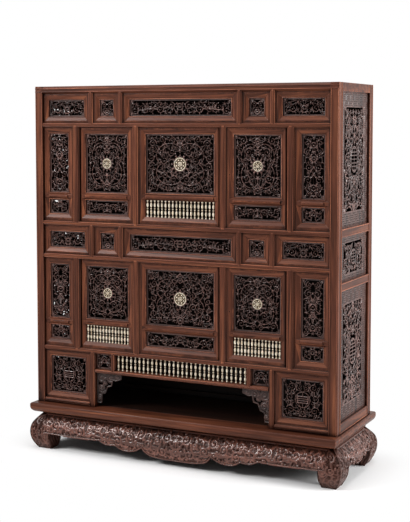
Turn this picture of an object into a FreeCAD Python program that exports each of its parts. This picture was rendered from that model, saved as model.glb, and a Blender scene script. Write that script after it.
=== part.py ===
"""A carved hardwood cabinet on a stand: posts, rails and mullions, pivot-hung doors and openwork panels."""

import FreeCAD, Part
import math
import os
import re
import Sketcher
from FreeCAD import Vector

# Driving sizes in millimetres, counts without a unit
SIZES = {
    # Cabinet body
    "body_width": 1400,
    "body_depth": 420,
    "post_width": 36,
    "rail_depth": 40,
    "board_thickness": 12,
    # Rows of the front, from the top down
    "top_rail_height": 34,
    "frieze_height": 122,
    "cross_rail_height": 22,
    "upper_row_height": 404,
    "lower_row_height": 386,
    "base_row_height": 212,
    "bottom_rail_height": 22,
    # Bays of the front, from the posts inwards
    "end_bay_width": 230,
    "divider_width": 27,
    "square_bay_width": 118,
    "fixed_leaf_width": 149,
    "mullion_width": 34,
    "door_bay_width": 261,
    # Splayed edges of rails, mullions and dividers
    "splay_drop": 10,
    "rail_splay_run": 8,
    "divider_splay_run": 9,
    "mullion_splay_run": 11,
    # Leaves: frames that hold openwork
    "leaf_setback": 10,
    "leaf_thickness": 22,
    "leaf_frame_width": 8,
    "leaf_bottom_width": 12,
    "mid_rail_height": 16,
    "mid_rail_swell": 5,
    "bead_inset": 20,
    "strip_height": 87,
    "bevel_run": 15,
    "mid_bevel_run": 5,
    "bevel_depth": 6,
    "panel_recess": 4,
    "openwork_thickness": 12,
    "openwork_border": 13,
    "openwork_pitch": 34,
    "openwork_bar": 11,
    # Doors, their pivots and latches
    "door_gap": 1,
    "pivot_radius": 6,
    "pivot_length": 12,
    "pivot_clearance": 0.05,
    "pivot_end_clearance": 0.3,
    "latch_length": 20,
    "latch_height": 12,
    "latch_thickness": 6,
    "latch_travel": 7,
    "latch_clearance": 0.3,
    "keyhole_radius": 2.5,
    # Bone fittings
    "door_medallion_radius": 21,
    "centre_medallion_radius": 28,
    "medallion_thickness": 16,
    "medallion_seat_clearance": 0.2,
    "medallion_holes": 8,
    "baluster_radius": 4.7,
    "leaf_baluster_height": 92,
    "centre_baluster_count": 19,
    "door_baluster_count": 14,
    "niche_baluster_height": 66,
    "niche_baluster_count": 30,
    # Niche
    "lintel_height": 18,
    "niche_square_width": 77,
    "small_post_width": 22,
    "spandrel_width": 122,
    "spandrel_height": 134,
    # Sides and back
    "side_rail_height": 34,
    "side_upper_height": 540,
    "side_middle_height": 180,
    "side_bottom_height": 42,
    "side_setback": 9,
    "side_border": 24,
    "back_board_count": 3,
    "back_setback": 8,
    # Stand
    "leg_height": 158,
    "waist_height": 12,
    "slab_height": 42,
    "slab_overhang": 12,
    "slab_front_overhang": 48,
    "slab_top_round": 8,
    "slab_under_round": 26,
    "slab_frame_width": 90,
    "waist_inset": 25,
    "waist_thickness": 24,
    "belly": 40,
    "leg_width": 80,
    "apron_thickness": 26,
    # Cuts run past the faces that they leave by
    "overrun": 2,
}

# Belly of the legs and aprons: heights as shares of the leg, and how far out as shares of the belly
BELLY_SHARES = ((1.0, 0.0), (0.88, 0.43), (0.74, 0.83), (0.6, 1.0), (0.38, 1.0), (0.2, 0.8), (0.0, 0.36))
# Inside of a leg: heights as shares of the leg, and how far in from the waist as shares of its width
LEG_INSIDE_SHARES = ((1.0, 0.7), (0.7, 0.7), (0.45, 0.72), (0.2, 0.72), (0.0, 0.62))
# How far the aprons reach into the legs, from the waist, as a share of the leg's width
APRON_END_SHARE = 0.25
# Lower edges of the long and of the side aprons: places from the middle to the leg, and heights, as shares
CLOUD_SHARES = (
    ((0.0, 0.16), (0.1, 0.17), (0.17, 0.2), (0.22, 0.29), (0.25, 0.42)),
    ((0.25, 0.42), (0.29, 0.32), (0.34, 0.27), (0.4, 0.28), (0.45, 0.39)),
    ((0.45, 0.39), (0.49, 0.37), (0.53, 0.39), (0.57, 0.47)),
    ((0.57, 0.47), (0.66, 0.45), (0.8, 0.45), (1.0, 0.46)),
)
SIDE_CLOUD_SHARES = (
    ((0.0, 0.36), (0.12, 0.37), (0.22, 0.41), (0.28, 0.5)),
    ((0.28, 0.5), (0.38, 0.43), (0.48, 0.44), (0.55, 0.52)),
    ((0.55, 0.52), (0.7, 0.47), (0.85, 0.48), (1.0, 0.52)),
)
# Turned outline of a baluster: heights as shares of its height, radii as shares of its radius
BALUSTER_SHARES = (
    (0.0, 0.9), (0.08, 0.9), (0.11, 0.5), (0.2, 0.6), (0.36, 1.0), (0.45, 0.6),
    (0.5, 0.9), (0.55, 0.6), (0.64, 1.0), (0.8, 0.6), (0.89, 0.5), (0.92, 0.9), (1.0, 0.9),
)
# Stepped outline of a niche spandrel, from the corner under the lintel, as shares of its sides
SPANDREL_SHARES = (
    (0.0, 0.0), (1.0, 0.0), (1.0, 0.16), (0.8, 0.24), (0.66, 0.22), (0.6, 0.42), (0.44, 0.46),
    (0.36, 0.66), (0.22, 0.7), (0.2, 1.0), (0.0, 1.0),
)
# Flat of a mid rail's swelling front, as shares of the rail's height
BEAD_FLAT_SHARES = (0.3, 0.7)
MEDALLION_HOLE_SHARE = 0.17
MEDALLION_RING_SHARE = 0.62
LATCH_PLACE_SHARE = 0.52
# Two levels this near each other are one level
NEAR = 1e-4

doc = FreeCAD.newDocument("cabinet")
sheet = doc.addObject("Spreadsheet::Sheet", "Sizes")
for row, (alias, number) in enumerate(SIZES.items(), start=1):
    sheet.set(f"A{row}", alias)
    sheet.set(f"B{row}", str(number))
    sheet.setAlias(f"B{row}", alias)
doc.recompute()


class Size:
    """A length worked out from the sheet, kept both as an expression and as its present value."""

    def __init__(self, text, number):
        self.text = text
        self.number = number

    def joined(self, other, sign, number, turned=False):
        first, second = (text_of(other), self.text) if turned else (self.text, text_of(other))
        return Size(f"({first} {sign} {second})", number)

    def __add__(self, other):
        return self.joined(other, "+", self.number + number_of(other))

    def __sub__(self, other):
        return self.joined(other, "-", self.number - number_of(other))

    def __rsub__(self, other):
        return self.joined(other, "-", number_of(other) - self.number, turned=True)

    def __mul__(self, other):
        return self.joined(other, "*", self.number * number_of(other))

    def __truediv__(self, other):
        return self.joined(other, "/", self.number / number_of(other))

    def __neg__(self):
        return Size(f"(0 - {self.text})", -self.number)

    __radd__ = __add__
    __rmul__ = __mul__

    def __float__(self):
        return float(self.number)


def text_of(value):
    return value.text if isinstance(value, Size) else repr(value)


def number_of(value):
    return value.number if isinstance(value, Size) else value


class Sheet:
    """Reads a cell of the sheet by its alias."""

    def __getattr__(self, alias):
        return Size(f"{sheet.Name}.{alias}", float(sheet.get(alias)))


s = Sheet()


def bind(thing, **sizes):
    for name, value in sizes.items():
        thing.setExpression(name, text_of(value))


def place(thing, x, y, z):
    for axis, value in zip("xyz", (x, y, z)):
        thing.setExpression(f"Placement.Base.{axis}", text_of(value))


def add(kind, name):
    return doc.addObject(kind, re.sub(r"\W", "_", name))


def box(name, low, high):
    thing = add("Part::Box", name)
    bind(thing, Length=high[0] - low[0], Width=high[1] - low[1], Height=high[2] - low[2])
    place(thing, *low)
    return thing


def cylinder(name, radius, height, x, y, z):
    thing = add("Part::Cylinder", name)
    bind(thing, Radius=radius, Height=height)
    place(thing, x, y, z)
    return thing


def group(name, things):
    thing = add("Part::Compound", name)
    thing.Links = things
    return thing


def cut(name, base, tools):
    thing = add("Part::Cut", name)
    thing.Base = base
    thing.Tool = tools[0] if len(tools) == 1 else group(f"{name}_tools", tools)
    return thing


def fuse(name, things):
    thing = add("Part::MultiFuse", name)
    thing.Shapes = things
    thing.Refine = True
    return thing


def origin_plane(body, role):
    return next(plane for plane in body.Origin.OriginFeatures if plane.Role == role)


def polygon_sketch(body, name, role, points):
    """A closed outline whose corners are each set out from the origin."""
    sketch = body.newObject("Sketcher::SketchObject", name)
    sketch.AttachmentSupport = (origin_plane(body, role), [""])
    sketch.MapMode = "FlatFace"
    corners = [Vector(float(number_of(u)), float(number_of(v)), 0) for u, v in points]
    for start, end in zip(corners, corners[1:] + corners[:1]):
        sketch.addGeometry(Part.LineSegment(start, end), False)
    count = len(corners)
    for n in range(count):
        sketch.addConstraint(Sketcher.Constraint("Coincident", n, 2, (n + 1) % count, 1))
    for n, (u, v) in enumerate(points):
        for kind, value in (("DistanceX", u), ("DistanceY", v)):
            number = float(number_of(value))
            index = sketch.addConstraint(Sketcher.Constraint(kind, -1, 1, n, 1, number))
            if isinstance(value, Size):
                sketch.setExpression(f"Constraints[{index}]", value.text)
    return sketch


def bar(name, role, points, length, x, y, z):
    """A straight member: an outline on one origin plane, drawn out square to it."""
    body = add("PartDesign::Body", name)
    sketch = polygon_sketch(body, f"{name}_outline", role, points)
    pad = body.newObject("PartDesign::Pad", f"{name}_pad")
    pad.Profile = sketch
    bind(pad, Length=length)
    place(body, x, y, z)
    return body


def splayed_outline(width, run, depth):
    """Across and deep: a flat ridge in front, splayed edges and a square back."""
    zero = width * 0
    return (
        (zero, s.splay_drop), (run, zero), (width - run, zero), (width, s.splay_drop),
        (width, depth), (zero, depth),
    )


def upright(name, width, run, x, low_z, high_z):
    outline = splayed_outline(width, run, s.rail_depth)
    return bar(name, "XY_Plane", outline, high_z - low_z, x, front_y, low_z)


def cross_rail(name, height, run, low_x, high_x, z):
    outline = [(deep, across) for across, deep in splayed_outline(height, run, s.rail_depth)]
    return bar(name, "YZ_Plane", outline, high_x - low_x, low_x, front_y, z)


def mirrored(inner, outer, side):
    """Low and high X of a span that lies between two distances from the middle."""
    return (inner, outer) if side > 0 else (-outer, -inner)


# Levels, from the floor up
slab_z = s.leg_height + s.waist_height
body_z = slab_z + s.slab_height
base_z = body_z + s.bottom_rail_height
base_rail_z = base_z + s.base_row_height
lower_z = base_rail_z + s.cross_rail_height
lower_rail_z = lower_z + s.lower_row_height
low_frieze_z = lower_rail_z + s.cross_rail_height
upper_rail_z = low_frieze_z + s.frieze_height
upper_z = upper_rail_z + s.cross_rail_height
frieze_rail_z = upper_z + s.upper_row_height
high_frieze_z = frieze_rail_z + s.cross_rail_height
top_rail_z = high_frieze_z + s.frieze_height
top_z = top_rail_z + s.top_rail_height
lintel_z = base_rail_z - s.niche_baluster_height - s.lintel_height

# Distances from the middle, and depths from the front
half_width = s.body_width / 2
half_depth = s.body_depth / 2
front_y = -half_depth
leaf_y = front_y + s.leaf_setback
panel_y = leaf_y + s.bevel_depth + s.panel_recess
inside_x = half_width - s.post_width
inside_y = half_depth - s.rail_depth
end_bay_x = inside_x - s.end_bay_width
square_outer_x = end_bay_x - s.divider_width
square_inner_x = square_outer_x - s.square_bay_width
long_bay_x = square_inner_x - s.divider_width
fixed_leaf_x = inside_x - s.fixed_leaf_width
door_outer_x = fixed_leaf_x - s.mullion_width
door_inner_x = door_outer_x - s.door_bay_width
centre_x = door_inner_x - s.mullion_width
niche_square_x = square_outer_x - s.niche_square_width
niche_row_x = niche_square_x - s.small_post_width

nodes = {}


def node(name, things):
    """Names a sub-part: one object, or several separate pieces of a kind."""
    thing = things[0] if len(things) == 1 else group(name, things)
    thing.Label = name
    nodes[name] = thing


# Sockets that the door pivots turn in, and mortises that the latches enter, filled in by the doors
pivot_sockets = []
strike_mortises = []


def holed_plate(width, height, thickness, border, medallion_radius):
    """A plate in XZ with diamond openings in staggered rows, clear of its border and of a round seat."""
    across = float(number_of(width))
    tall = float(number_of(height))
    edge = float(border)
    pitch = float(s.openwork_pitch)
    reach = (pitch - float(s.openwork_bar)) / 2
    seat = float(medallion_radius + s.medallion_seat_clearance) if medallion_radius else 0
    middle = Vector(across / 2, 0, tall / 2)
    wires = [Part.makePolygon([
        Vector(0, 0, 0), Vector(across, 0, 0), Vector(across, 0, tall), Vector(0, 0, tall), Vector(0, 0, 0),
    ])]
    columns = max(1, int((across - 2 * edge) / pitch))
    rows = max(1, int((tall - 2 * edge) / pitch))
    step_x = (across - 2 * edge) / columns
    step_z = (tall - 2 * edge) / rows
    half_x = reach * step_x / pitch
    half_z = reach * step_z / pitch
    for stagger in (0, 1):
        for column in range(columns - stagger):
            for line in range(rows - stagger):
                offset = (1 + stagger) / 2
                at = Vector(edge + (column + offset) * step_x, 0, edge + (line + offset) * step_z)
                if seat and (at - middle).Length < seat + max(half_x, half_z) + float(s.openwork_bar) / 2:
                    continue
                ways = ((-half_x, 0), (0, -half_z), (half_x, 0), (0, half_z), (-half_x, 0))
                wires.append(Part.makePolygon([at + Vector(dx, 0, dz) for dx, dz in ways]))
    if seat:
        wires.append(Part.Wire(Part.makeCircle(seat, middle, Vector(0, 1, 0))))
    face = Part.makeFace(wires, "Part::FaceMakerBullseye")
    return face.extrude(Vector(0, float(thickness), 0))


def openwork(name, low_x, high_x, y, low_z, high_z, medallion_radius=None):
    thing = add("Part::Feature", name)
    thing.Shape = holed_plate(
        high_x - low_x, high_z - low_z, s.openwork_thickness, s.openwork_border, medallion_radius
    )
    place(thing, low_x, y, low_z)
    return thing


class Window:
    """A window through a leaf, bevelled in front and straight behind."""

    def __init__(self, low_x, high_x, low_z, high_z, low_run, high_run):
        self.front = (low_x, high_x, low_z, high_z)
        self.runs = (low_run, high_run)
        self.low_x = low_x + s.bevel_run
        self.high_x = high_x - s.bevel_run
        self.low_z = low_z + low_run
        self.high_z = high_z - high_run


def window_tools(name, window):
    low_x, high_x, low_z, high_z = window.front
    low_run, high_run = window.runs
    bevel = add("Part::Wedge", f"{name}_bevel")
    bind(
        bevel,
        Xmin=0, Xmax=high_x - low_x, Zmin=0, Zmax=high_z - low_z, Ymin=0, Ymax=s.bevel_depth,
        X2min=s.bevel_run, X2max=high_x - low_x - s.bevel_run,
        Z2min=low_run, Z2max=high_z - low_z - high_run,
    )
    place(bevel, low_x, leaf_y, low_z)
    hole = box(
        f"{name}_hole",
        (window.low_x, leaf_y + s.bevel_depth, window.low_z),
        (window.high_x, leaf_y + s.leaf_thickness + s.overrun, window.high_z),
    )
    return [bevel, hole]


def leaf_panel(name, window, medallion_radius=None):
    """The openwork that fills a bevelled window, set back behind its bevels."""
    span = (window.low_x, window.high_x, panel_y, window.low_z, window.high_z)
    return openwork(name, *span, medallion_radius)


def framed_bay(name, low_x, high_x, low_z, high_z):
    """A fixed frame that fills a bay, and its openwork."""
    edge = s.leaf_frame_width
    run = s.bevel_run
    window = Window(low_x + edge, high_x - edge, low_z + edge, high_z - edge, run, run)
    blank = box(f"{name}_blank", (low_x, leaf_y, low_z), (high_x, leaf_y + s.leaf_thickness, high_z))
    frame = cut(f"{name}_frame", blank, window_tools(name, window))
    return frame, leaf_panel(f"{name}_panel", window)


def leaf_windows(low_x, high_x, low_z, high_z, lower_height):
    """The upper and lower windows of a leaf with a mid rail."""
    left = low_x + s.leaf_frame_width
    right = high_x - s.leaf_frame_width
    sill = low_z + s.leaf_bottom_width
    mid_low = sill + lower_height
    mid_high = mid_low + s.mid_rail_height
    lower = Window(left, right, sill, mid_low, s.bevel_run, s.mid_bevel_run)
    upper = Window(left, right, mid_high, high_z - s.leaf_frame_width, s.mid_bevel_run, s.bevel_run)
    return upper, lower


def mid_rail_bead(name, lower_window):
    """The swelling front of a mid rail, which stops short of the stiles so that the leaf can open."""
    left, right, _, mid_z = lower_window.front
    low_x = left + s.bead_inset
    high_x = right - s.bead_inset
    height = s.mid_rail_height
    zero = height * 0
    flat_low, flat_high = (height * share for share in BEAD_FLAT_SHARES)
    outline = ((s.mid_rail_swell, zero), (s.mid_rail_swell, height), (zero, flat_high), (zero, flat_low))
    y = leaf_y - s.mid_rail_swell
    return bar(f"{name}_bead", "YZ_Plane", outline, high_x - low_x, low_x, y, mid_z)


def baluster_row(name, count, height, low_x, high_x, y, z):
    """Turned balusters standing at even steps between two ends."""
    body = add("PartDesign::Body", name)
    body.AllowCompound = True
    points = [(height * 0, height * 0)]
    points += [(s.baluster_radius * out, height * up) for up, out in BALUSTER_SHARES]
    points += [(height * 0, height)]
    sketch = polygon_sketch(body, f"{name}_outline", "XZ_Plane", points)
    turned = body.newObject("PartDesign::Revolution", f"{name}_turned")
    turned.Profile = sketch
    turned.ReferenceAxis = (sketch, ["V_Axis"])
    turned.Angle = 360
    doc.recompute()
    pattern = body.newObject("PartDesign::LinearPattern", f"{name}_row")
    pattern.Originals = [turned]
    pattern.Direction = (sketch, ["H_Axis"])
    step = (high_x - low_x) / count
    bind(pattern, Length=step * (count - 1), Occurrences=count)
    body.Tip = pattern
    place(body, low_x + step / 2, y, z)
    return body


def medallion(name, radius, x, z):
    """A pierced bone disc, proud of the openwork on both faces."""
    proud = (s.medallion_thickness - s.openwork_thickness) / 2
    body = add("PartDesign::Body", name)
    sketch = body.newObject("Sketcher::SketchObject", f"{name}_round")
    sketch.AttachmentSupport = (origin_plane(body, "XZ_Plane"), [""])
    sketch.MapMode = "FlatFace"
    ring = float(radius) * MEDALLION_RING_SHARE
    circles = [(Vector(0, 0, 0), radius)]
    holes = int(float(s.medallion_holes))
    for n in range(holes):
        turn = 2 * math.pi * n / holes
        centre = Vector(ring * math.cos(turn), ring * math.sin(turn), 0)
        circles.append((centre, radius * MEDALLION_HOLE_SHARE))
    for n, (centre, size) in enumerate(circles):
        sketch.addGeometry(Part.Circle(centre, Vector(0, 0, 1), float(size)), False)
        index = sketch.addConstraint(Sketcher.Constraint("Radius", n, float(size)))
        sketch.setExpression(f"Constraints[{index}]", size.text)
    pad = body.newObject("PartDesign::Pad", f"{name}_pad")
    pad.Profile = sketch
    pad.Reversed = True
    bind(pad, Length=s.medallion_thickness)
    place(body, x, panel_y - proud, z)
    return body


def door(name, low_x, high_x, low_z, high_z, hinge, lower_height, radius, baluster_count, latched):
    """A pivot-hung leaf: its hinge stile is rounded about the pivots, which turn in the rails."""
    left = low_x + s.door_gap
    right = high_x - s.door_gap
    bottom = low_z + s.door_gap
    top = high_z - s.door_gap
    half = s.leaf_thickness / 2
    axis_y = leaf_y + half
    axis_x = left + half if hinge < 0 else right - half
    straight = (axis_x, right) if hinge < 0 else (left, axis_x)
    blank = box(
        f"{name}_blank", (straight[0], leaf_y, bottom), (straight[1], leaf_y + s.leaf_thickness, top)
    )
    stile = cylinder(f"{name}_stile", half, top - bottom, axis_x, axis_y, bottom)
    reach = s.pivot_length - s.pivot_end_clearance + s.door_gap
    pins = cylinder(f"{name}_pins", s.pivot_radius, top - bottom + reach * 2, axis_x, axis_y, bottom - reach)
    upper, lower = leaf_windows(left, right, bottom, top, lower_height)
    bead = mid_rail_bead(name, lower)
    whole = fuse(f"{name}_whole", [blank, stile, pins, bead])
    tools = window_tools(f"{name}_upper", upper) + window_tools(f"{name}_lower", lower)
    bore = s.pivot_radius + s.pivot_clearance
    for end, level in (("low", low_z - s.pivot_length), ("high", high_z)):
        pivot_sockets.append(cylinder(f"{name}_{end}_socket", bore, s.pivot_length, axis_x, axis_y, level))
    if latched:
        tools += latch(name, left, right, bottom, top, hinge)
    node(f"{name}_frame", [cut(f"{name}_cut", whole, tools)])
    panels = [leaf_panel(f"{name}_upper_panel", upper, radius)]
    if baluster_count is None:
        panels.append(leaf_panel(f"{name}_lower_panel", lower))
    else:
        row = baluster_row(
            f"{name}_row", baluster_count, lower.high_z - lower.low_z,
            lower.low_x, lower.high_x, axis_y, lower.low_z,
        )
        node(f"{name}_balusters", [row])
    node(f"{name}_openwork", panels)
    centre = ((upper.low_x + upper.high_x) / 2, (upper.low_z + upper.high_z) / 2)
    node(f"{name}_medallion", [medallion(f"{name}_disc", radius, *centre)])


def latch(name, left, right, bottom, top, hinge):
    """A bar that slides out of the free stile into the mullion. Gives the cuts that it needs in the leaf."""
    z = bottom + (top - bottom) * LATCH_PLACE_SHARE
    y = leaf_y + (s.leaf_thickness - s.latch_thickness) / 2
    gap = s.latch_clearance
    free = right if hinge < 0 else left
    low, high = (free - s.latch_length, free) if hinge < 0 else (free, free + s.latch_length)
    bar_box = box(f"{name}_bar", (low, y, z), (high, y + s.latch_thickness, z + s.latch_height))
    node(f"{name}_latch", [bar_box])
    inner, outer = (low - gap, free + s.overrun) if hinge < 0 else (free - s.overrun, high + gap)
    span = ((y - gap, z), (y + s.latch_thickness + gap, z + s.latch_height + gap))
    mortise = box(f"{name}_mortise", (inner, *span[0]), (outer, *span[1]))
    depth = s.latch_travel + gap
    reach = (free, free + depth) if hinge < 0 else (free - depth, free)
    strike_low = (reach[0], y - gap, z - gap)
    strike_high = (reach[1], y + s.latch_thickness + gap, z + s.latch_height + gap)
    strike_mortises.append(box(f"{name}_strike", strike_low, strike_high))
    keyhole = cylinder(
        f"{name}_keyhole", s.keyhole_radius, s.leaf_thickness / 2 + s.overrun,
        (low + high) / 2, leaf_y - s.overrun, z + s.latch_height / 2,
    )
    keyhole.Placement.Rotation = FreeCAD.Rotation(Vector(1, 0, 0), -90)
    return [mortise, keyhole]


def level_edges(shape, high):
    """Names of the edges that run round the top or the bottom of a solid."""
    bounds = shape.BoundBox
    level = bounds.ZMax if high else bounds.ZMin
    return [
        f"Edge{n}" for n, edge in enumerate(shape.Edges, 1)
        if math.isclose(edge.BoundBox.ZMin, level, abs_tol=NEAR)
        and math.isclose(edge.BoundBox.ZMax, level, abs_tol=NEAR)
    ]


def stand():
    """A slab with rounded edges on a waist, carried by bellied legs and aprons."""
    out_x = half_width + s.slab_overhang
    out_y = half_depth + s.slab_front_overhang
    slab = add("PartDesign::Body", "slab")
    corners = ((-out_x, -out_y), (out_x, -out_y), (out_x, out_y), (-out_x, out_y))
    pad = slab.newObject("PartDesign::Pad", "slab_pad")
    pad.Profile = polygon_sketch(slab, "slab_outline", "XY_Plane", corners)
    bind(pad, Length=s.slab_height)
    doc.recompute()
    solid = pad
    for name, high, radius in (("top", True, s.slab_top_round), ("under", False, s.slab_under_round)):
        rounded = slab.newObject("PartDesign::Fillet", f"slab_{name}_rounded")
        rounded.Base = (solid, level_edges(solid.Shape, high))
        bind(rounded, Radius=radius)
        doc.recompute()
        solid = rounded
    in_x = out_x - s.slab_frame_width
    in_y = out_y - s.slab_frame_width
    inner = ((-in_x, -in_y), (in_x, -in_y), (in_x, in_y), (-in_x, in_y))
    hollow = slab.newObject("PartDesign::Pocket", "slab_hollow")
    hollow.Profile = polygon_sketch(slab, "slab_inner", "XY_Plane", inner)
    hollow.Type = "ThroughAll"
    hollow.Reversed = True
    place(slab, 0, 0, slab_z)
    node("stand_frame", [slab])
    panel_low = (-in_x, -in_y, body_z - s.board_thickness)
    node("stand_panel", [box("slab_panel", panel_low, (in_x, in_y, body_z))])
    waist_x = out_x - s.waist_inset
    waist_y = half_depth + s.slab_overhang - s.waist_inset
    hoop = box("waist_blank", (-waist_x, -waist_y, s.leg_height), (waist_x, waist_y, slab_z))
    core_x = waist_x - s.waist_thickness
    core_y = waist_y - s.waist_thickness
    core_low = (-core_x, -core_y, s.leg_height - s.overrun)
    core = box("waist_core", core_low, (core_x, core_y, slab_z + s.overrun))
    node("stand_waist", [cut("waist_hoop", hoop, [core])])
    legs_and_aprons(waist_x, waist_y)


def leg_line(shares, size):
    """Points out from the waist and up along a leg."""
    return [(float(size) * out, float(s.leg_height) * up) for up, out in shares]


def spline_edge(points):
    curve = Part.BSplineCurve()
    curve.interpolate(points)
    return curve.toShape()


def belly_solid(start, outside, inside, along, length):
    """Draws a bellied outline out along X or Y. start gives the waist line and the drawing's beginning."""
    def spot(out, up):
        return Vector(start.x, start.y - out, up) if along.x else Vector(start.x + out, start.y, up)

    outer = [spot(*point) for point in outside]
    inner = [spot(*point) for point in inside]
    edges = [spline_edge(outer), Part.makeLine(outer[-1], inner[-1])]
    edges += [spline_edge(inner), Part.makeLine(inner[0], outer[0])]
    face = Part.Face(Part.Wire(Part.__sortEdges__(edges)))
    return face.extrude(along * length)


def cloud_solid(shares, half_span, low_y, high_y):
    """A wide plate in XZ whose lower edge is the scalloped outline of an apron."""
    high = float(s.leg_height)
    span = float(half_span)
    edges = []
    for side in (-1, 1):
        for stretch in shares:
            points = [Vector(side * span * out, low_y, high * up) for out, up in stretch]
            edges.append(spline_edge(points))
        corner = Vector(side * span, low_y, high * shares[-1][-1][1])
        edges.append(Part.makeLine(corner, Vector(side * span, low_y, high)))
    edges.append(Part.makeLine(Vector(-span, low_y, high), Vector(span, low_y, high)))
    face = Part.Face(Part.Wire(Part.__sortEdges__(edges)))
    return face.extrude(Vector(0, high_y - low_y, 0))


def legs_and_aprons(waist_x, waist_y):
    outside = leg_line(BELLY_SHARES, s.belly)
    legs = {"front": [], "rear": []}
    leg_inside = leg_line(LEG_INSIDE_SHARES, -s.leg_width)
    reach = float(s.leg_width + s.belly)
    across = belly_solid(
        Vector(float(waist_x) - reach, -float(waist_y), 0), outside, leg_inside, Vector(1, 0, 0), reach * 2
    )
    deep = belly_solid(
        Vector(float(waist_x), -float(waist_y) - reach, 0), outside, leg_inside, Vector(0, 1, 0), reach * 2
    )
    corner = across.common(deep)
    for end, turn in (("front", 0), ("rear", 1)):
        for side in (1, -1):
            shape = corner.copy()
            if side < 0:
                shape = shape.mirror(Vector(0, 0, 0), Vector(1, 0, 0))
            if turn:
                shape = shape.mirror(Vector(0, 0, 0), Vector(0, 1, 0))
            thing = add("Part::Feature", f"{end}_leg_{'right' if side > 0 else 'left'}")
            thing.Shape = shape
            legs[end].append(thing)
    node("front_legs", legs["front"])
    node("rear_legs", legs["rear"])
    skin = [(out - float(s.apron_thickness), up) for out, up in outside]
    apron_end = float(s.leg_width) * APRON_END_SHARE
    solids = {}
    for name, shares, half_long, half_wide in (
        ("front", CLOUD_SHARES, waist_x, waist_y), ("side", SIDE_CLOUD_SHARES, waist_y, waist_x),
    ):
        span = float(half_long)
        start = Vector(-span - reach, -float(half_wide), 0)
        strip = belly_solid(start, outside, skin, Vector(1, 0, 0), 2 * (span + reach))
        cloud = cloud_solid(shares, span - apron_end, -float(half_wide) - reach, -float(half_wide) + reach)
        solids[name] = strip.common(cloud)
    turns = (
        ("front_apron", "front", 0), ("rear_apron", "front", 180), ("right_apron", "side", 90),
        ("left_apron", "side", -90),
    )
    made = {}
    for name, kind, turn in turns:
        thing = add("Part::Feature", name)
        whole = solids[kind].copy()
        whole.rotate(Vector(0, 0, 0), Vector(0, 0, 1), turn)
        for leg in legs["front"] + legs["rear"]:
            whole = whole.cut(leg.Shape)
        thing.Shape = whole
        made[name] = thing
    node("front_apron", [made["front_apron"]])
    node("rear_apron", [made["rear_apron"]])
    node("side_aprons", [made["left_apron"], made["right_apron"]])


def posts():
    for name, low_y, high_y in (("front", front_y, -inside_y), ("rear", inside_y, half_depth)):
        pair = []
        for side in (-1, 1):
            low, high = mirrored(inside_x, half_width, side)
            pair.append(box(f"{name}_post_{side + 1}", (low, low_y, body_z), (high, high_y, top_z)))
        node(f"{name}_posts", pair)


def doors():
    """Three doors in each of two rows: the outer two hang from the outer mullions."""
    plain = (s.strip_height, None)
    centre_row = (s.leaf_baluster_height, s.centre_baluster_count)
    side_row = (s.leaf_baluster_height, s.door_baluster_count)
    rows = (
        ("upper", upper_z, frieze_rail_z, plain, centre_row),
        ("lower", lower_z, lower_rail_z, side_row, plain),
    )
    for row, low_z, high_z, sides, centre in rows:
        for side, place_name in ((-1, "left"), (1, "right")):
            low_x, high_x = mirrored(door_inner_x, door_outer_x, side)
            door(
                f"{row}_{place_name}_door", low_x, high_x, low_z, high_z, side, sides[0],
                s.door_medallion_radius, sides[1], True,
            )
        door(
            f"{row}_centre_door", -centre_x, centre_x, low_z, high_z, 1, centre[0],
            s.centre_medallion_radius, centre[1], False,
        )


def front_grid():
    """Rails across the front, with pivot sockets, and the uprights that are scribed to them."""
    levels = (
        ("base_rail", base_rail_z), ("lower_rail", lower_rail_z), ("upper_rail", upper_rail_z),
        ("frieze_rail", frieze_rail_z),
    )
    plain = [
        cross_rail(name, s.cross_rail_height, s.rail_splay_run, -inside_x, inside_x, z) for name, z in levels
    ]
    top = cross_rail("top_front", s.top_rail_height, s.rail_splay_run, -inside_x, inside_x, top_rail_z)
    node("front_rails", [cut("rails_bored", group("rails_plain", plain), pivot_sockets)])
    scribe = group("rails_scribe", plain + [top])
    half_rail = s.cross_rail_height / 2
    half_top = s.top_rail_height / 2
    mullions = []
    for row, low_z, high_z in (("upper", upper_z, frieze_rail_z), ("lower", lower_z, lower_rail_z)):
        span = (low_z - half_rail, high_z + half_rail)
        for side in (-1, 1):
            for n, inner in enumerate((door_outer_x, centre_x)):
                low, high = mirrored(inner, inner + s.mullion_width, side)
                name = f"{row}_mullion_{n}_{side + 1}"
                mullions.append(upright(name, s.mullion_width, s.mullion_splay_run, low, *span))
    scribed = cut("mullions_scribed", group("mullions_plain", mullions), [scribe])
    node("mullions", [cut("mullions_cut", scribed, strike_mortises)])
    dividers = []
    for row, low_z, high_z, head in (
        ("high", high_frieze_z, top_rail_z, half_top), ("low", low_frieze_z, upper_rail_z, half_rail),
    ):
        span = (low_z - half_rail, high_z + head)
        for side in (-1, 1):
            for n, inner in enumerate((square_outer_x, long_bay_x)):
                low, high = mirrored(inner, inner + s.divider_width, side)
                name = f"{row}_divider_{n}_{side + 1}"
                dividers.append(upright(name, s.divider_width, s.divider_splay_run, low, *span))
    node("frieze_dividers", [cut("dividers_scribed", group("dividers_plain", dividers), [scribe])])
    return top, scribe, half_rail


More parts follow.
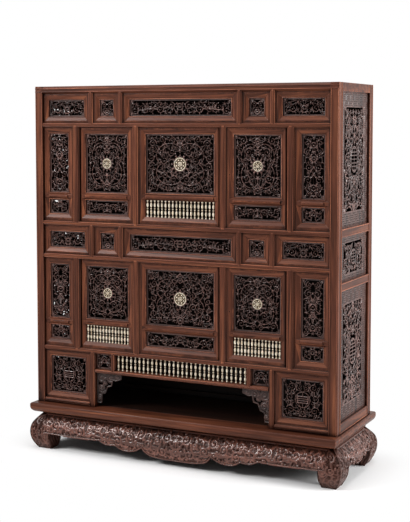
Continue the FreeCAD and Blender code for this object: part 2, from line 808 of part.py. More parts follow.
def top_and_sides(top_front):
    back = box("top_back", (-inside_x, inside_y, top_rail_z), (inside_x, half_depth, top_z))
    ends = []
    side_rails = []
    side_panels = []
    side_levels = (
        ("lower", body_z, body_z + s.side_bottom_height),
        ("middle", top_rail_z - s.side_upper_height - s.side_middle_height - s.side_rail_height * 2, None),
        ("upper", top_rail_z - s.side_upper_height - s.side_rail_height, None),
    )
    for side in (-1, 1):
        low, high = mirrored(inside_x, half_width, side)
        ends.append(box(f"top_end_{side + 1}", (low, -inside_y, top_rail_z), (high, inside_y, top_z)))
        floor = None
        for name, low_z, high_z in side_levels:
            high_z = high_z or low_z + s.side_rail_height
            corners = (low, -inside_y, low_z), (high, inside_y, high_z)
            side_rails.append(box(f"side_rail_{name}_{side + 1}", *corners))
            if floor is not None:
                side_panels.append(side_openwork(f"side_{name}_{side + 1}", side, floor, low_z))
            floor = high_z
        side_panels.append(side_openwork(f"side_top_{side + 1}", side, floor, top_rail_z))
    node("top_rails", [top_front, back] + ends)
    node("side_rails", side_rails)
    node("side_openwork", side_panels)
    low = (-inside_x, -inside_y, top_z - s.board_thickness)
    node("top_panel", [box("top_board", low, (inside_x, inside_y, top_z))])


def side_openwork(name, side, low_z, high_z):
    """A pierced panel in the side, turned to face outwards."""
    thing = add("Part::Feature", name)
    thing.Shape = holed_plate(inside_y * 2, high_z - low_z, s.openwork_thickness, s.side_border, None)
    thing.Placement.Rotation = FreeCAD.Rotation(Vector(0, 0, 1), 90)
    outer = half_width - s.side_setback
    place(thing, outer if side > 0 else -outer + s.openwork_thickness, -inside_y, low_z)
    return thing


def friezes_and_leaves():
    frames = []
    panels = []
    for low_z, high_z, row in ((high_frieze_z, top_rail_z, "high"), (low_frieze_z, upper_rail_z, "low")):
        bays = [(-long_bay_x, long_bay_x)]
        for side in (-1, 1):
            bays.append(mirrored(square_inner_x, square_outer_x, side))
            bays.append(mirrored(end_bay_x, inside_x, side))
        for n, (low_x, high_x) in enumerate(bays):
            frame, panel = framed_bay(f"{row}_frieze_{n}", low_x, high_x, low_z, high_z)
            frames.append(frame)
            panels.append(panel)
    node("frieze_frames", frames)
    node("frieze_openwork", panels)
    frames = []
    panels = []
    for low_z, high_z, row in ((upper_z, frieze_rail_z, "upper"), (lower_z, lower_rail_z, "lower")):
        for side in (-1, 1):
            low_x, high_x = mirrored(fixed_leaf_x, inside_x, side)
            name = f"{row}_fixed_{side + 1}"
            blank = box(f"{name}_blank", (low_x, leaf_y, low_z), (high_x, leaf_y + s.leaf_thickness, high_z))
            upper, lower = leaf_windows(low_x, high_x, low_z, high_z, s.strip_height)
            bead = mid_rail_bead(name, lower)
            tools = window_tools(f"{name}_upper", upper) + window_tools(f"{name}_lower", lower)
            frames.append(cut(f"{name}_frame", fuse(f"{name}_whole", [blank, bead]), tools))
            panels.append(leaf_panel(f"{name}_upper_panel", upper))
            panels.append(leaf_panel(f"{name}_lower_panel", lower))
    node("fixed_leaf_frames", frames)
    node("fixed_leaf_openwork", panels)


def base_row(scribe, half_rail):
    """End panels, and between them the niche with its balusters, lintel and spandrels."""
    rails = []
    frames = []
    panels = []
    tall = []
    small = []
    squares = []
    spandrels = []
    lintel_top = lintel_z + s.lintel_height
    run = s.rail_splay_run
    lintel = cross_rail("lintel", s.lintel_height, run, -square_outer_x, square_outer_x, lintel_z)
    post_top = base_rail_z + half_rail
    for side in (-1, 1):
        low_x, high_x = mirrored(end_bay_x, inside_x, side)
        name = f"base_{side + 1}"
        rails.append(cross_rail(f"{name}_rail", s.bottom_rail_height, run, low_x, high_x, body_z))
        frame, panel = framed_bay(f"{name}_end", low_x, high_x, base_z, base_rail_z)
        frames.append(frame)
        panels.append(panel)
        low_x, high_x = mirrored(square_outer_x, end_bay_x, side)
        tall.append(
            upright(f"{name}_post", s.divider_width, s.divider_splay_run, low_x, body_z, post_top)
        )
        low_x, high_x = mirrored(niche_row_x, niche_square_x, side)
        small_foot = lintel_z + s.lintel_height / 2
        small.append(upright(f"{name}_small", s.small_post_width, run, low_x, small_foot, post_top))
        low_x, high_x = mirrored(niche_square_x, square_outer_x, side)
        squares.append(openwork(f"{name}_square", low_x, high_x, panel_y, lintel_top, base_rail_z))
        spandrels.append(spandrel(f"{name}_spandrel", side))
    node("bottom_rails", rails)
    node("base_end_frames", frames)
    node("base_end_openwork", panels)
    node("niche_posts", [cut("posts_scribed", group("posts_plain", tall), [scribe])])
    node("niche_lintel", [lintel])
    small_scribe = group("small_scribe", [scribe, lintel])
    node("niche_small_posts", [cut("small_scribed", group("small_plain", small), [small_scribe])])
    node("niche_square_openwork", squares)
    node("niche_spandrels", spandrels)
    row = baluster_row(
        "niche_row", s.niche_baluster_count, s.niche_baluster_height,
        -niche_row_x, niche_row_x, front_y + s.rail_depth / 2, lintel_top,
    )
    node("niche_balusters", [row])


def spandrel(name, side):
    """A stepped bracket in the corner under the lintel."""
    thing = add("Part::Feature", name)
    wide = float(s.spandrel_width)
    tall = float(s.spandrel_height)
    points = [Vector(-side * wide * across, 0, -tall * down) for across, down in SPANDREL_SHARES]
    face = Part.Face(Part.makePolygon(points + points[:1]))
    thing.Shape = face.extrude(Vector(0, float(s.openwork_thickness), 0))
    place(thing, square_outer_x * side, panel_y, lintel_z)
    return thing


def inside_and_back():
    for name, z in (("middle_shelf", upper_rail_z), ("niche_ceiling", base_rail_z)):
        board = box(name, (-inside_x, -inside_y, z), (inside_x, inside_y, z + s.board_thickness))
        node(name, [board])
    rails = []
    spans = ((body_z, base_z), (upper_rail_z, upper_z))
    for n, (low_z, high_z) in enumerate(spans):
        rails.append(box(f"rear_rail_{n}", (-inside_x, inside_y, low_z), (inside_x, half_depth, high_z)))
    node("rear_rails", rails)
    boards = []
    back_y = half_depth - s.back_setback
    step = inside_x * 2 / s.back_board_count
    for n, (low_z, high_z) in enumerate(((base_z, upper_rail_z), (upper_z, top_rail_z))):
        for column in range(int(float(s.back_board_count))):
            low = (-inside_x + step * column, back_y - s.board_thickness, low_z)
            high = (-inside_x + step * (column + 1), back_y, high_z)
            boards.append(box(f"back_board_{n}_{column}", low, high))
    node("back_boards", boards)


def write_parts():
    """Checks every object, then writes each named sub-part to its own file."""
    doc.recompute()
    for thing in doc.Objects:
        faults = [state for state in thing.State if state in ("Invalid", "Error")]
        if faults:
            raise RuntimeError(f"{thing.Label} failed: {faults}")
    for name, thing in nodes.items():
        if thing.Shape.isNull() or not thing.Shape.isValid() or not thing.Shape.Solids:
            raise RuntimeError(f"{name} has no valid shape")
    os.makedirs("parts", exist_ok=True)
    for name, thing in nodes.items():
        thing.Shape.exportStep(f"parts/{name}.step")
        bounds = thing.Shape.BoundBox
        print(f"{name}: {len(thing.Shape.Solids)} solids, volume {thing.Shape.Volume / 1000:.1f} cm3, "
              f"z {bounds.ZMin:.1f} to {bounds.ZMax:.1f}")


stand()
posts()
doors()
top_front_rail, front_scribe, half_cross_rail = front_grid()
top_and_sides(top_front_rail)
friezes_and_leaves()
base_row(front_scribe, half_cross_rail)
inside_and_back()
write_parts()
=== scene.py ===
"""Dresses the cabinet's solids: carved openwork, relief on the stand, wood, bone, light and camera."""

import math

import bpy
import numpy as np
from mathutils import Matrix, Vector


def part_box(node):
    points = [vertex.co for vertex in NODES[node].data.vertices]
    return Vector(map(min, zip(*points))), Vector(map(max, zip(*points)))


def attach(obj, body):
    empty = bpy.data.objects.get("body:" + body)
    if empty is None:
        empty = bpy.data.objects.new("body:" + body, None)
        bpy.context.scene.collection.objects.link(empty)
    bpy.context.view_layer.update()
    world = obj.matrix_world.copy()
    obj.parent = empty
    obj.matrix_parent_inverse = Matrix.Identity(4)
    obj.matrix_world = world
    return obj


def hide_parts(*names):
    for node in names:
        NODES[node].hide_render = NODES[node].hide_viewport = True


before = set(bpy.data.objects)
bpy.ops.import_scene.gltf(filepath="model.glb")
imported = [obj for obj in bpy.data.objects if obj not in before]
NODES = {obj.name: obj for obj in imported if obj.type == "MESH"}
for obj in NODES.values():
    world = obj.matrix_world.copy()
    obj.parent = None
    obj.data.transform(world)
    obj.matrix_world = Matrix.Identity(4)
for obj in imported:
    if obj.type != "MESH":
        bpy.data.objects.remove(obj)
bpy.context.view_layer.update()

MM = 0.001
ROOT = "cabinet"
FULL_TURN = 2 * math.pi


def add_object(name, data):
    thing = bpy.data.objects.new(name, data)
    bpy.context.scene.collection.objects.link(thing)
    return thing


# Materials

def colour(red, green, blue):
    """A colour written in screen values, as linear light."""
    values = [v / 255 for v in (red, green, blue)]
    return tuple(v / 12.92 if v <= 0.04045 else ((v + 0.055) / 1.055) ** 2.4 for v in values)


def opaque(tone):
    """A grey from one number, or a colour from three, with full alpha."""
    return (tone, tone, tone, 1.0) if isinstance(tone, float) else (*tone, 1.0)


class Nodes:
    """The shader nodes of a material or world. Each input takes a value or another node's output."""

    def __init__(self, owner):
        owner.use_nodes = True
        self.tree = owner.node_tree
        self.shader = self.tree.nodes.get("Principled BSDF")

    def feed(self, socket, value):
        if isinstance(value, bpy.types.NodeSocket):
            self.tree.links.new(value, socket)
        else:
            socket.default_value = value

    def add(self, kind, *inputs, **named):
        """A node with its settings by name, and its inputs in order or by name."""
        node = self.tree.nodes.new(kind)
        for key, value in named.items():
            if hasattr(node, key):
                setattr(node, key, value)
        for key, value in [*enumerate(inputs), *named.items()]:
            if isinstance(key, int) or not hasattr(node, key):
                self.feed(node.inputs[key], value)
        return node

    def calc(self, operation, *inputs, clamp=False):
        return self.add("ShaderNodeMath", *inputs, operation=operation, use_clamp=clamp).outputs[0]

    def scaled(self, value, gain, base):
        return self.calc("MULTIPLY_ADD", value, gain, base)

    def vector(self, operation, *inputs):
        return self.add("ShaderNodeVectorMath", *inputs, operation=operation).outputs[0]

    def noise(self, place, **settings):
        return self.add("ShaderNodeTexNoise", Vector=place, **settings).outputs[0]

    def relief(self):
        """The lightness that each mesh carries for painted shade and highlight, from a hollow, 0, to the top, 1."""
        return self.add("ShaderNodeAttribute", attribute_name="relief").outputs["Fac"]

    def times(self, tone, shade, share=1.0):
        node = self.add("ShaderNodeMix", data_type="RGBA", blend_type="MULTIPLY")
        for index, value in ((0, share), (6, tone), (7, shade)):
            self.feed(node.inputs[index], value)
        return node.outputs[2]

    def ramp(self, share, *stops):
        """Greys or colours at places from 0 to 1."""
        node = self.add("ShaderNodeValToRGB", share)
        elements = node.color_ramp.elements
        while len(elements) < len(stops):
            elements.new(1.0)
        for element, (place, tone) in zip(elements, stops):
            element.position = place
            element.color = opaque(tone)
        return node.outputs[0]

    def rays(self, first, *others):
        """One for rays of any of these kinds, else zero."""
        kinds = self.add("ShaderNodeLightPath").outputs
        seen = kinds[first]
        for other in others:
            seen = self.calc("ADD", seen, kinds[other], clamp=True)
        return seen

    def shade(self, values):
        for key, value in values.items():
            self.feed(self.shader.inputs[key], value)

    def blend(self, output, share, first, second):
        mixed = self.add("ShaderNodeMixShader", share, first, second).outputs[0]
        self.feed(self.tree.nodes[output].inputs["Surface"], mixed)


GRAIN_STRETCH = 0.06
# By how much a normal's Z has to pass its X on a level member of a frame
LEVEL_LEAD = 0.05
# What sets the grain of each piece apart from the next
PIECE_SHIFT = (3.0, 5.0, 7.0)
BAND_STOPS = (0.3, 0.5, 0.72)
# Painted light on the frames: a painted sheen on bevels, painted shade with some grime in crevices, and edge wear with
# a painted highlight
BEVEL_SHEEN = ((0.2, 1.0), (0.3, (1.3, 1.3, 1.26)), (0.5, (1.3, 1.3, 1.26)), (0.6, 1.0))
GRIME_AND_SHADE = ((0.4, (0.1, 0.08, 0.07)), (0.74, (0.42, 0.38, 0.36)), (0.95, 1.0))
WEAR_AND_HIGHLIGHT = ((0.4, (2.35, 2.6, 2.85)), (0.85, 1.0))


def wood(name, along, tones, roughness, relief_tones=None, top_shine=0.12):
    """Satin hardwood: bands and pores drawn out along the grain, a tone for each piece, polish that wears.

    The grain runs along X, Y or Z, or, for F, along each member of an upright frame. Light is painted too: a sheen on
    the bevels of F frames; on plain wood, shade with some grime in crevices and a highlight with the wear on edges; on
    carving, shade in the hollows and a highlight on the tops.
    """
    material = bpy.data.materials.new(name)
    nodes = Nodes(material)
    coordinates = nodes.add("ShaderNodeTexCoord").outputs
    place = coordinates["Object"]
    if along == "F":
        tilt = nodes.vector("ABSOLUTE", coordinates["Normal"])
        tilt = nodes.add("ShaderNodeSeparateXYZ", tilt).outputs
        level = nodes.calc("GREATER_THAN", tilt["Z"], nodes.calc("ADD", tilt["X"], LEVEL_LEAD))
        turn = 1.0 - GRAIN_STRETCH
        stretch = nodes.vector("MULTIPLY_ADD", level, (-turn, 0.0, turn), (1.0, 1.0, GRAIN_STRETCH))
    else:
        stretch = tuple(GRAIN_STRETCH if axis == along else 1.0 for axis in "XYZ")
    drawn = nodes.vector("MULTIPLY", place, stretch)
    piece = nodes.add("ShaderNodeNewGeometry").outputs["Random Per Island"]
    grain = nodes.vector("MULTIPLY_ADD", piece, PIECE_SHIFT, drawn)
    bands = nodes.noise(grain, Scale=26.0, Detail=6.0, Roughness=0.62, Distortion=0.7)
    pores = nodes.noise(grain, Scale=240.0, Detail=3.0, Roughness=0.6)
    patches = nodes.noise(place, Scale=5.0, Detail=2.0)
    tone = nodes.ramp(bands, *zip(BAND_STOPS, tones))
    tone = nodes.times(tone, nodes.scaled(pores, gain=1.1, base=0.42), share=0.8)
    tone = nodes.times(tone, nodes.scaled(piece, gain=0.34, base=0.84))
    tone = nodes.times(tone, nodes.scaled(patches, gain=0.7, base=0.66))
    # Painted sheen: the bevels of upright frames, found by the tilt of their normals, are made lighter
    if along == "F":
        slope = nodes.calc("MAXIMUM", tilt["X"], tilt["Z"])
        tone = nodes.times(tone, nodes.ramp(slope, *BEVEL_SHEEN))
    gloss = nodes.scaled(pores, gain=0.22, base=roughness - 0.11)
    shine = top_shine
    if relief_tones:
        relief = nodes.relief()
        # Painted shade in the carving's hollows and a painted highlight on its tops, read from the relief attribute
        tone = nodes.times(tone, nodes.ramp(relief, *relief_tones))
        gloss = nodes.scaled(relief, gain=-0.38, base=nodes.calc("ADD", gloss, 0.2))
        shine = nodes.calc("MULTIPLY", relief, top_shine)
    else:
        # Painted shade with some grime: crevices and concave corners, found by ambient occlusion, are darkened
        crevice = nodes.add("ShaderNodeAmbientOcclusion", samples=6, Distance=0.018)
        tone = nodes.times(tone, nodes.ramp(crevice.outputs["AO"], *GRIME_AND_SHADE))
        # Edge wear with a painted highlight: sharp outer edges, found by inside ambient occlusion, are made much
        # lighter and greyer
        arris = nodes.add("ShaderNodeAmbientOcclusion", samples=6, inside=True, only_local=True, Distance=0.004)
        tone = nodes.times(tone, nodes.ramp(arris.outputs["AO"], *WEAR_AND_HIGHLIGHT))
    rise = nodes.scaled(pores, gain=0.5, base=bands)
    bump = nodes.add("ShaderNodeBump", Height=rise, Strength=0.12, Distance=0.0012).outputs[0]
    nodes.shade({"Base Color": tone, "Roughness": gloss, "Specular IOR Level": shine, "Normal": bump})
    return material


BONE_TONES = ((0.25, colour(184, 164, 132)), (0.5, colour(222, 208, 186)), (0.8, colour(240, 230, 214)))
BONE_PORES = ((0.28, (0.55, 0.47, 0.36)), (0.42, 1.0))


def bone(name, *hollow_shades):
    """Polished bone: cream, with fine dark pores, and painted shade, brown to dark, in its hollows and necks."""
    material = bpy.data.materials.new(name)
    nodes = Nodes(material)
    place = nodes.add("ShaderNodeTexCoord").outputs["Object"]
    piece = nodes.add("ShaderNodeNewGeometry").outputs["Random Per Island"]
    cloud = nodes.noise(place, Scale=90.0, Detail=4.0)
    grain = nodes.add("ShaderNodeMapping", Vector=place, Scale=(1.0, 1.0, 0.12)).outputs[0]
    pores = nodes.noise(grain, Scale=900.0, Detail=2.0)
    tone = nodes.ramp(cloud, *BONE_TONES)
    tone = nodes.times(tone, nodes.ramp(pores, *BONE_PORES), share=0.6)
    tone = nodes.times(tone, nodes.scaled(piece, gain=0.22, base=0.84))
    tone = nodes.times(tone, nodes.ramp(nodes.relief(), *hollow_shades))
    gloss = nodes.scaled(pores, gain=0.25, base=0.2)
    bump = nodes.add("ShaderNodeBump", Height=pores, Strength=0.1, Distance=0.0005).outputs[0]
    nodes.shade({
        "Base Color": tone, "Roughness": gloss, "Normal": bump,
        "Subsurface Weight": 0.08, "Subsurface Radius": (0.004, 0.0025, 0.0015),
    })
    return material


FRAME_TONES = (colour(38, 18, 11), colour(78, 42, 29), colour(114, 67, 45))
CARVED_TONES = (colour(39, 23, 20), colour(73, 48, 42), colour(99, 69, 61))
STAND_TONES = (colour(50, 28, 21), colour(86, 52, 42), colour(112, 70, 58))
# Near black for the pieces inside: painted shade for the dark within the cabinet
INNER_SHADE_TONES = (colour(12, 6, 4), colour(24, 12, 8), colour(36, 19, 12))
# Brightness of carved wood from a hollow, 0, to the top of the relief, 1: painted shade in the hollows, a painted
# highlight on the tops
PANEL_RELIEF = ((0.0, 0.03), (0.35, 0.28), (0.66, 1.06), (0.8, 1.68), (1.0, 1.9))
STAND_RELIEF = ((0.0, 0.22), (0.4, 0.55), (0.8, 1.1), (1.0, 1.7))
WOODS = {axis: wood(f"hardwood_{axis}", axis, FRAME_TONES, 0.36) for axis in "XYZF"}
CARVED = {axis: wood(f"carved_hardwood_{axis}", axis, CARVED_TONES, 0.38, PANEL_RELIEF, 0.72) for axis in "XZ"}
STAND = {axis: wood(f"stand_hardwood_{axis}", axis, STAND_TONES, 0.38, STAND_RELIEF, 0.45) for axis in "XYZ"}
INNER = wood("shaded_inner_hardwood_X", "X", INNER_SHADE_TONES, 0.5)
# The last stops are painted shade in the hollows of the carved bone and at the necks of the turnings
CARVED_BONE = bone("carved_bone", (0.0, (0.1, 0.06, 0.03)), (0.2, (0.35, 0.27, 0.18)), (0.48, 1.0))
TURNED_BONE = bone("turned_bone", (0.36, (0.3, 0.22, 0.15)), (0.75, 1.0))

# Which way the grain runs in the solids that stay
GRAIN = {
    "front_posts": "Z", "rear_posts": "Z", "mullions": "Z", "frieze_dividers": "Z", "niche_posts": "Z",
    "niche_small_posts": "Z", "front_rails": "X", "top_rails": "X", "bottom_rails": "X", "niche_lintel": "X",
    "side_rails": "Y", "frieze_frames": "F", "base_end_frames": "F", "fixed_leaf_frames": "F",
    "stand_frame": "X", "stand_waist": "X",
}
# Pieces inside, given the near black wood of painted shade
INNER_NODES = ("stand_panel", "middle_shelf", "niche_ceiling", "rear_rails", "back_boards", "top_panel")


def clothe(thing, material):
    thing.data.materials.clear()
    thing.data.materials.append(material)


for name, thing in NODES.items():
    if name in GRAIN:
        clothe(thing, WOODS[GRAIN[name]])
    elif name in INNER_NODES:
        clothe(thing, INNER)
    elif name.endswith(("_frame", "_latch")):
        clothe(thing, WOODS["F"])


# Carving: outlines and relief on a grid, turned into closed meshes. Sizes are in millimetres

RELIEF_FULL = 4.0
# How light a flat margin is, on the painted scale from a shaded hollow to the highlighted top of the relief
FLAT_LIGHT = 0.59
# How much higher than its stem a bud stands
BUD_RISE = 1.15


def polar(x, z, reach, turn):
    return x + reach * math.cos(turn), z + reach * math.sin(turn)


def run_max(values, inside):
    """Spreads the highest number along each unbroken run of a row."""
    result = values.copy()
    for way in (1, -1):
        line, mask = result[:, ::way], inside[:, ::way]
        for n in range(1, line.shape[1]):
            carry = np.where(mask[:, n] & mask[:, n - 1], line[:, n - 1], 0)
            line[:, n] = np.maximum(line[:, n], carry)
    return result


class Carving:
    """A plate seen from its front.

    solid is the distance inside the outline, rise the relief, and least_light the least lightness for painted shade,
    from 0 to 1.
    """

    def __init__(self, width, height, step, least_cells=4, outside=-30.0):
        self.width, self.height = width, height
        self.columns, self.rows = (max(least_cells, int(round(size / step))) for size in (width, height))
        self.across = np.linspace(0.0, width, self.columns + 1)
        self.up = np.linspace(0.0, height, self.rows + 1)
        self.step = max(width / self.columns, height / self.rows)
        self.x, self.z = np.meshgrid(self.across, self.up)
        self.solid = np.full(self.x.shape, outside)
        self.rise = np.zeros(self.x.shape)
        self.least_light = np.zeros(self.x.shape)

    def window(self, x, z, reach):
        columns = np.searchsorted(self.across, (x - reach, x + reach))
        rows = np.searchsorted(self.up, (z - reach, z + reach))
        return slice(rows[0], rows[1] + 1), slice(columns[0], columns[1] + 1)

    def dab(self, x, z, radius, rise):
        """One round touch: a dome of wood."""
        part = self.window(x, z, radius + 2 * self.step)
        distance = np.hypot(self.x[part] - x, self.z[part] - z)
        self.solid[part] = np.maximum(self.solid[part], radius - distance)
        dome = rise * np.sqrt(np.clip(1.0 - (distance / radius) ** 2, 0.0, 1.0))
        self.rise[part] = np.maximum(self.rise[part], dome)

    def stroke(self, points, radii, rise, share=0.45, extra=0.4):
        """A round stem along points, of dabs that lie a share of its half width apart, and a little more."""
        radii = np.broadcast_to(radii, len(points))
        for (x0, z0), (x1, z1), r0, r1 in zip(points, points[1:], radii, radii[1:]):
            count = max(1, int(math.hypot(x1 - x0, z1 - z0) / (share * min(r0, r1) + extra)))
            for n in range(count + 1):
                t = n / count
                self.dab(x0 + t * (x1 - x0), z0 + t * (z1 - z0), r0 + t * (r1 - r0), rise)

    def leaf(self, x, z, turn, length, width, rise, count=7, curl=0.7, tip=0.9, foot=0.14, ease=0.8):
        """A pointed leaf that grows from x, z in the direction turn, and curls a little."""
        share = np.linspace(0.0, 1.0, count)
        bend = turn + curl * share[:-1]
        path = np.cumsum(np.stack([np.cos(bend), np.sin(bend)], 1) * (length / (count - 1)), 0)
        radii = width * np.sin(np.pi * np.clip(share * (1.0 - foot) + foot, 0, 1)) ** ease
        self.stroke(np.add((x, z), np.concatenate([[(0, 0)], path])), np.maximum(tip, radii), rise)

    def spray(self, x, z, first, step, reach, length, width, rise, count=3):
        """Leaves round a point, from the first one's turn on."""
        for n in range(count):
            away = first + step * n
            self.leaf(*polar(x, z, reach, away), away, length, width, rise)

    def spiral(self, x, z, radius, turn, hand, stem, rise, turns=1.35, count=26, close=0.78, ease=0.9, thin=0.35,
               bud=1.55):
        """A scroll that winds in to a bud."""
        share = np.linspace(0.0, 1.0, count)
        angle = turn + hand * FULL_TURN * turns * share
        reach = radius * (1.0 - close * share ** ease)
        points = np.stack([x + reach * np.cos(angle), z + reach * np.sin(angle)], 1)
        self.stroke(points, stem * (1.0 - thin * share), rise)
        self.dab(*points[-1], stem * bud, rise * BUD_RISE)

    def flower(self, x, z, radius, turn, stem, rise, petals=5, bud=1.5):
        """An open flower: narrow petals round a bud."""
        for n in range(petals):
            self.leaf(x, z, turn + FULL_TURN * n / petals, radius, stem, rise)
        self.dab(x, z, stem * bud, rise * BUD_RISE)

    def ring(self, x, z, radius, stem, rise, squash=1.0, count=49):
        turn = np.linspace(0, FULL_TURN, count)
        self.stroke(np.stack([x + radius * np.cos(turn), z + squash * radius * np.sin(turn)], 1), stem, rise)

    def border(self, side, end):
        """A flat margin round the plate."""
        margin = np.maximum(
            side - np.minimum(self.x, self.width - self.x), end - np.minimum(self.z, self.height - self.z)
        )
        self.solid = np.maximum(self.solid, margin)
        # Flat margins get their lightness for the painted shade
        self.least_light = np.maximum(self.least_light, np.where(margin > -self.step, FLAT_LIGHT, 0.0))

    def mirror(self):
        self.solid = np.maximum(self.solid, self.solid[:, ::-1])
        self.rise = np.maximum(self.rise, self.rise[:, ::-1])

    def join_up(self, rounds=60, samples=160, stride=3, width=1.2, rise=1.0):
        """Ties every loose bit of the pattern to the rest with a short stem."""
        for _ in range(rounds):
            label = self.pieces()
            main = label[0, 0] or label.max()
            rest = np.unique(label[(label > 0) & (label != main)])
            if not len(rest):
                return
            home = np.argwhere(label == main)[::stride]
            for value in rest:
                loose = np.argwhere(label == value)
                if len(loose) > samples:
                    loose = loose[::len(loose) // samples + 1]
                gaps = np.abs(loose[:, None, :] - home[None, :, :]).sum(2)
                a, b = np.unravel_index(gaps.argmin(), gaps.shape)
                ends = [(self.across[column], self.up[row]) for row, column in (loose[a], home[b])]
                self.stroke(ends, width * self.step, rise)

    def pieces(self):
        """Numbers the separate bits of the pattern."""
        inside = self.solid > 0
        label = np.where(inside, np.arange(1, inside.size + 1).reshape(inside.shape), 0)
        while True:
            grown = run_max(run_max(label, inside).T, inside.T).T
            if np.array_equal(grown, label):
                return label
            label = grown

    def mesh(self, place, thickness, slant_rounds=4, least_slope=0.3, rim_reach=0.62):
        """Vertices, faces and painted lightness of the closed plate: lighter with the relief, in painted shade at the
        back. place turns across, up and outward into the row frame.
        """
        full = self.solid[:-1, :-1] + self.solid[1:, :-1] + self.solid[:-1, 1:] + self.solid[1:, 1:] > 0
        for _ in range(slant_rounds):
            full[:-1, 1:] |= full[:-1, :-1] & full[1:, 1:] & ~full[:-1, 1:] & ~full[1:, :-1]
            full[:-1, :-1] |= full[:-1, 1:] & full[1:, :-1] & ~full[:-1, :-1] & ~full[1:, 1:]
        padded = np.pad(full, 1)
        touching = np.stack([padded[:-1, :-1], padded[1:, :-1], padded[:-1, 1:], padded[1:, 1:]])
        used = touching.any(0)
        rim = used & ~touching.all(0)
        slope_z, slope_x = np.gradient(self.solid, self.up, self.across)
        steep = np.maximum(slope_x ** 2 + slope_z ** 2, least_slope)
        limit = rim_reach * self.step
        move_x, move_z = (np.clip(-self.solid * slope / steep, -limit, limit) * rim for slope in (slope_x, slope_z))
        move_x[:, [0, -1]] = 0
        move_z[[0, -1], :] = 0
        x, z = (self.x + move_x)[used], (self.z + move_z)[used]
        count = len(x)
        number = np.full(used.shape, -1)
        number[used] = np.arange(count)
        points = [place(x, z, self.rise[used]), place(x, z, np.full(count, -thickness))]
        quads = np.stack([number[:-1, :-1], number[:-1, 1:], number[1:, 1:], number[1:, :-1]], -1)[full]
        faces = [quads, quads[:, ::-1] + count]
        for ahead, behind, low, high in (
            (padded[1:-1, 1:], padded[1:-1, :-1], number[:-1], number[1:]),
            (padded[1:, 1:-1], padded[:-1, 1:-1], number[:, 1:], number[:, :-1]),
        ):
            wall = ahead != behind
            first, second = np.where(ahead, high, low)[wall], np.where(ahead, low, high)[wall]
            faces.append(np.stack([first, second, second + count, first + count], 1))
        # Painted lightness: from the relief and each flat's least light at the front, painted shade at the back that
        # darkens the rims
        shade = np.maximum(np.clip(self.rise[used] / RELIEF_FULL, 0.0, 1.0), self.least_light[used])
        return np.concatenate(points), np.concatenate(faces), np.concatenate([shade, np.zeros(count)])


def build(name, parts, material, slot, body, *nodes):
    """One object from several carved plates, smooth over the relief and sharp at the rims."""
    points, faces, shades = zip(*parts)
    starts = np.cumsum([0, *map(len, points)])
    points = np.concatenate(points) * MM
    faces = np.concatenate([part + start for part, start in zip(faces, starts)]).astype(np.int32)
    mesh = bpy.data.meshes.new(name)
    mesh.vertices.add(len(points))
    mesh.vertices.foreach_set("co", points.astype(np.float32).ravel())
    mesh.loops.add(faces.size)
    mesh.loops.foreach_set("vertex_index", faces.ravel())
    mesh.polygons.add(len(faces))
    mesh.polygons.foreach_set("loop_start", np.arange(0, faces.size, 4, dtype=np.int32))
    mesh.update(calc_edges=True)
    mesh.validate()
    # The relief attribute holds each vertex's lightness for the painted shade and highlight
    relief = mesh.attributes.new("relief", "FLOAT", "POINT")
    relief.data.foreach_set("value", np.concatenate(shades).astype(np.float32))
    mesh.polygons.foreach_set("use_smooth", np.ones(len(mesh.polygons), bool))
    mesh.set_sharp_from_angle(angle=math.radians(48))
    mesh.materials.append(material)
    thing = add_object(name, mesh)
    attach(thing, body)
    if nodes:
        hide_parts(*nodes)


def islands(name):
    """Lowest and highest corner of each separate solid of a node, from left to right and up."""
    mesh = NODES[name].data
    points = np.empty(len(mesh.vertices) * 3, np.float32)
    mesh.vertices.foreach_get("co", points)
    points = points.reshape(-1, 3).astype(float) / MM
    _, spot = np.unique(np.round(points, 2), axis=0, return_inverse=True)
    spot = spot.ravel()
    edges = np.empty(len(mesh.edges) * 2, np.int32)
    mesh.edges.foreach_get("vertices", edges)
    edges = spot[edges.reshape(-1, 2)]
    label = np.arange(spot.max() + 1)
    while True:
        lowest = label.copy()
        np.minimum.at(lowest, edges[:, 0], label[edges[:, 1]])
        np.minimum.at(lowest, edges[:, 1], label[edges[:, 0]])
        lowest = lowest[lowest]
        if np.array_equal(lowest, label):
            break
        label = lowest
    owner = label[spot]
    boxes = [(points[owner == value].min(0), points[owner == value].max(0)) for value in np.unique(owner)]
    return sorted(boxes, key=lambda box: (round(box[0][2]), round(box[0][0]), round(box[0][1])))


# Scrollwork: motifs strewn over a field

SCROLL_CELL = 37.0
STEM = 1.65
SCROLL_RISE = 3.2
SUNK = 1.4
EDGE_LAP = 1.2
# Radii of the motifs as shares of a cell, and how often each is tried in a cell
MOTIFS = ((0.5, 4), (0.38, 12), (0.3, 18), (0.22, 24), (0.16, 18))
# Least radii of scrolls and flowers as shares of a cell; what is smaller becomes a sprig
SPIRAL_FROM, FLOWER_FROM = 0.35, 0.25
# Leaves on a scroll: how many, turn of the first and of each next, place, lean and length
SPRAY, SPRAY_FIRST, SPRAY_NEXT, SPRAY_AT, SPRAY_LEAN, SPRAY_LENGTH = 3, 1.2, 1.7, 0.8, 0.7, 0.5
SPRAY_SWELL = (1.0, 1.4)
SMALL_STEM = 0.95
SPRIG_NEXT, SPRIG_LENGTH, SPRIG_RISE = 2.1, 1.2, SCROLL_RISE * 0.9
# Stems to the nearest motifs: how many, where they start and end, and their size
LINKS, LINK_FROM, LINK_TO, LINK_SIZE = 2, 0.75, 0.8, 0.8


def open_room(x, z):
    return math.inf


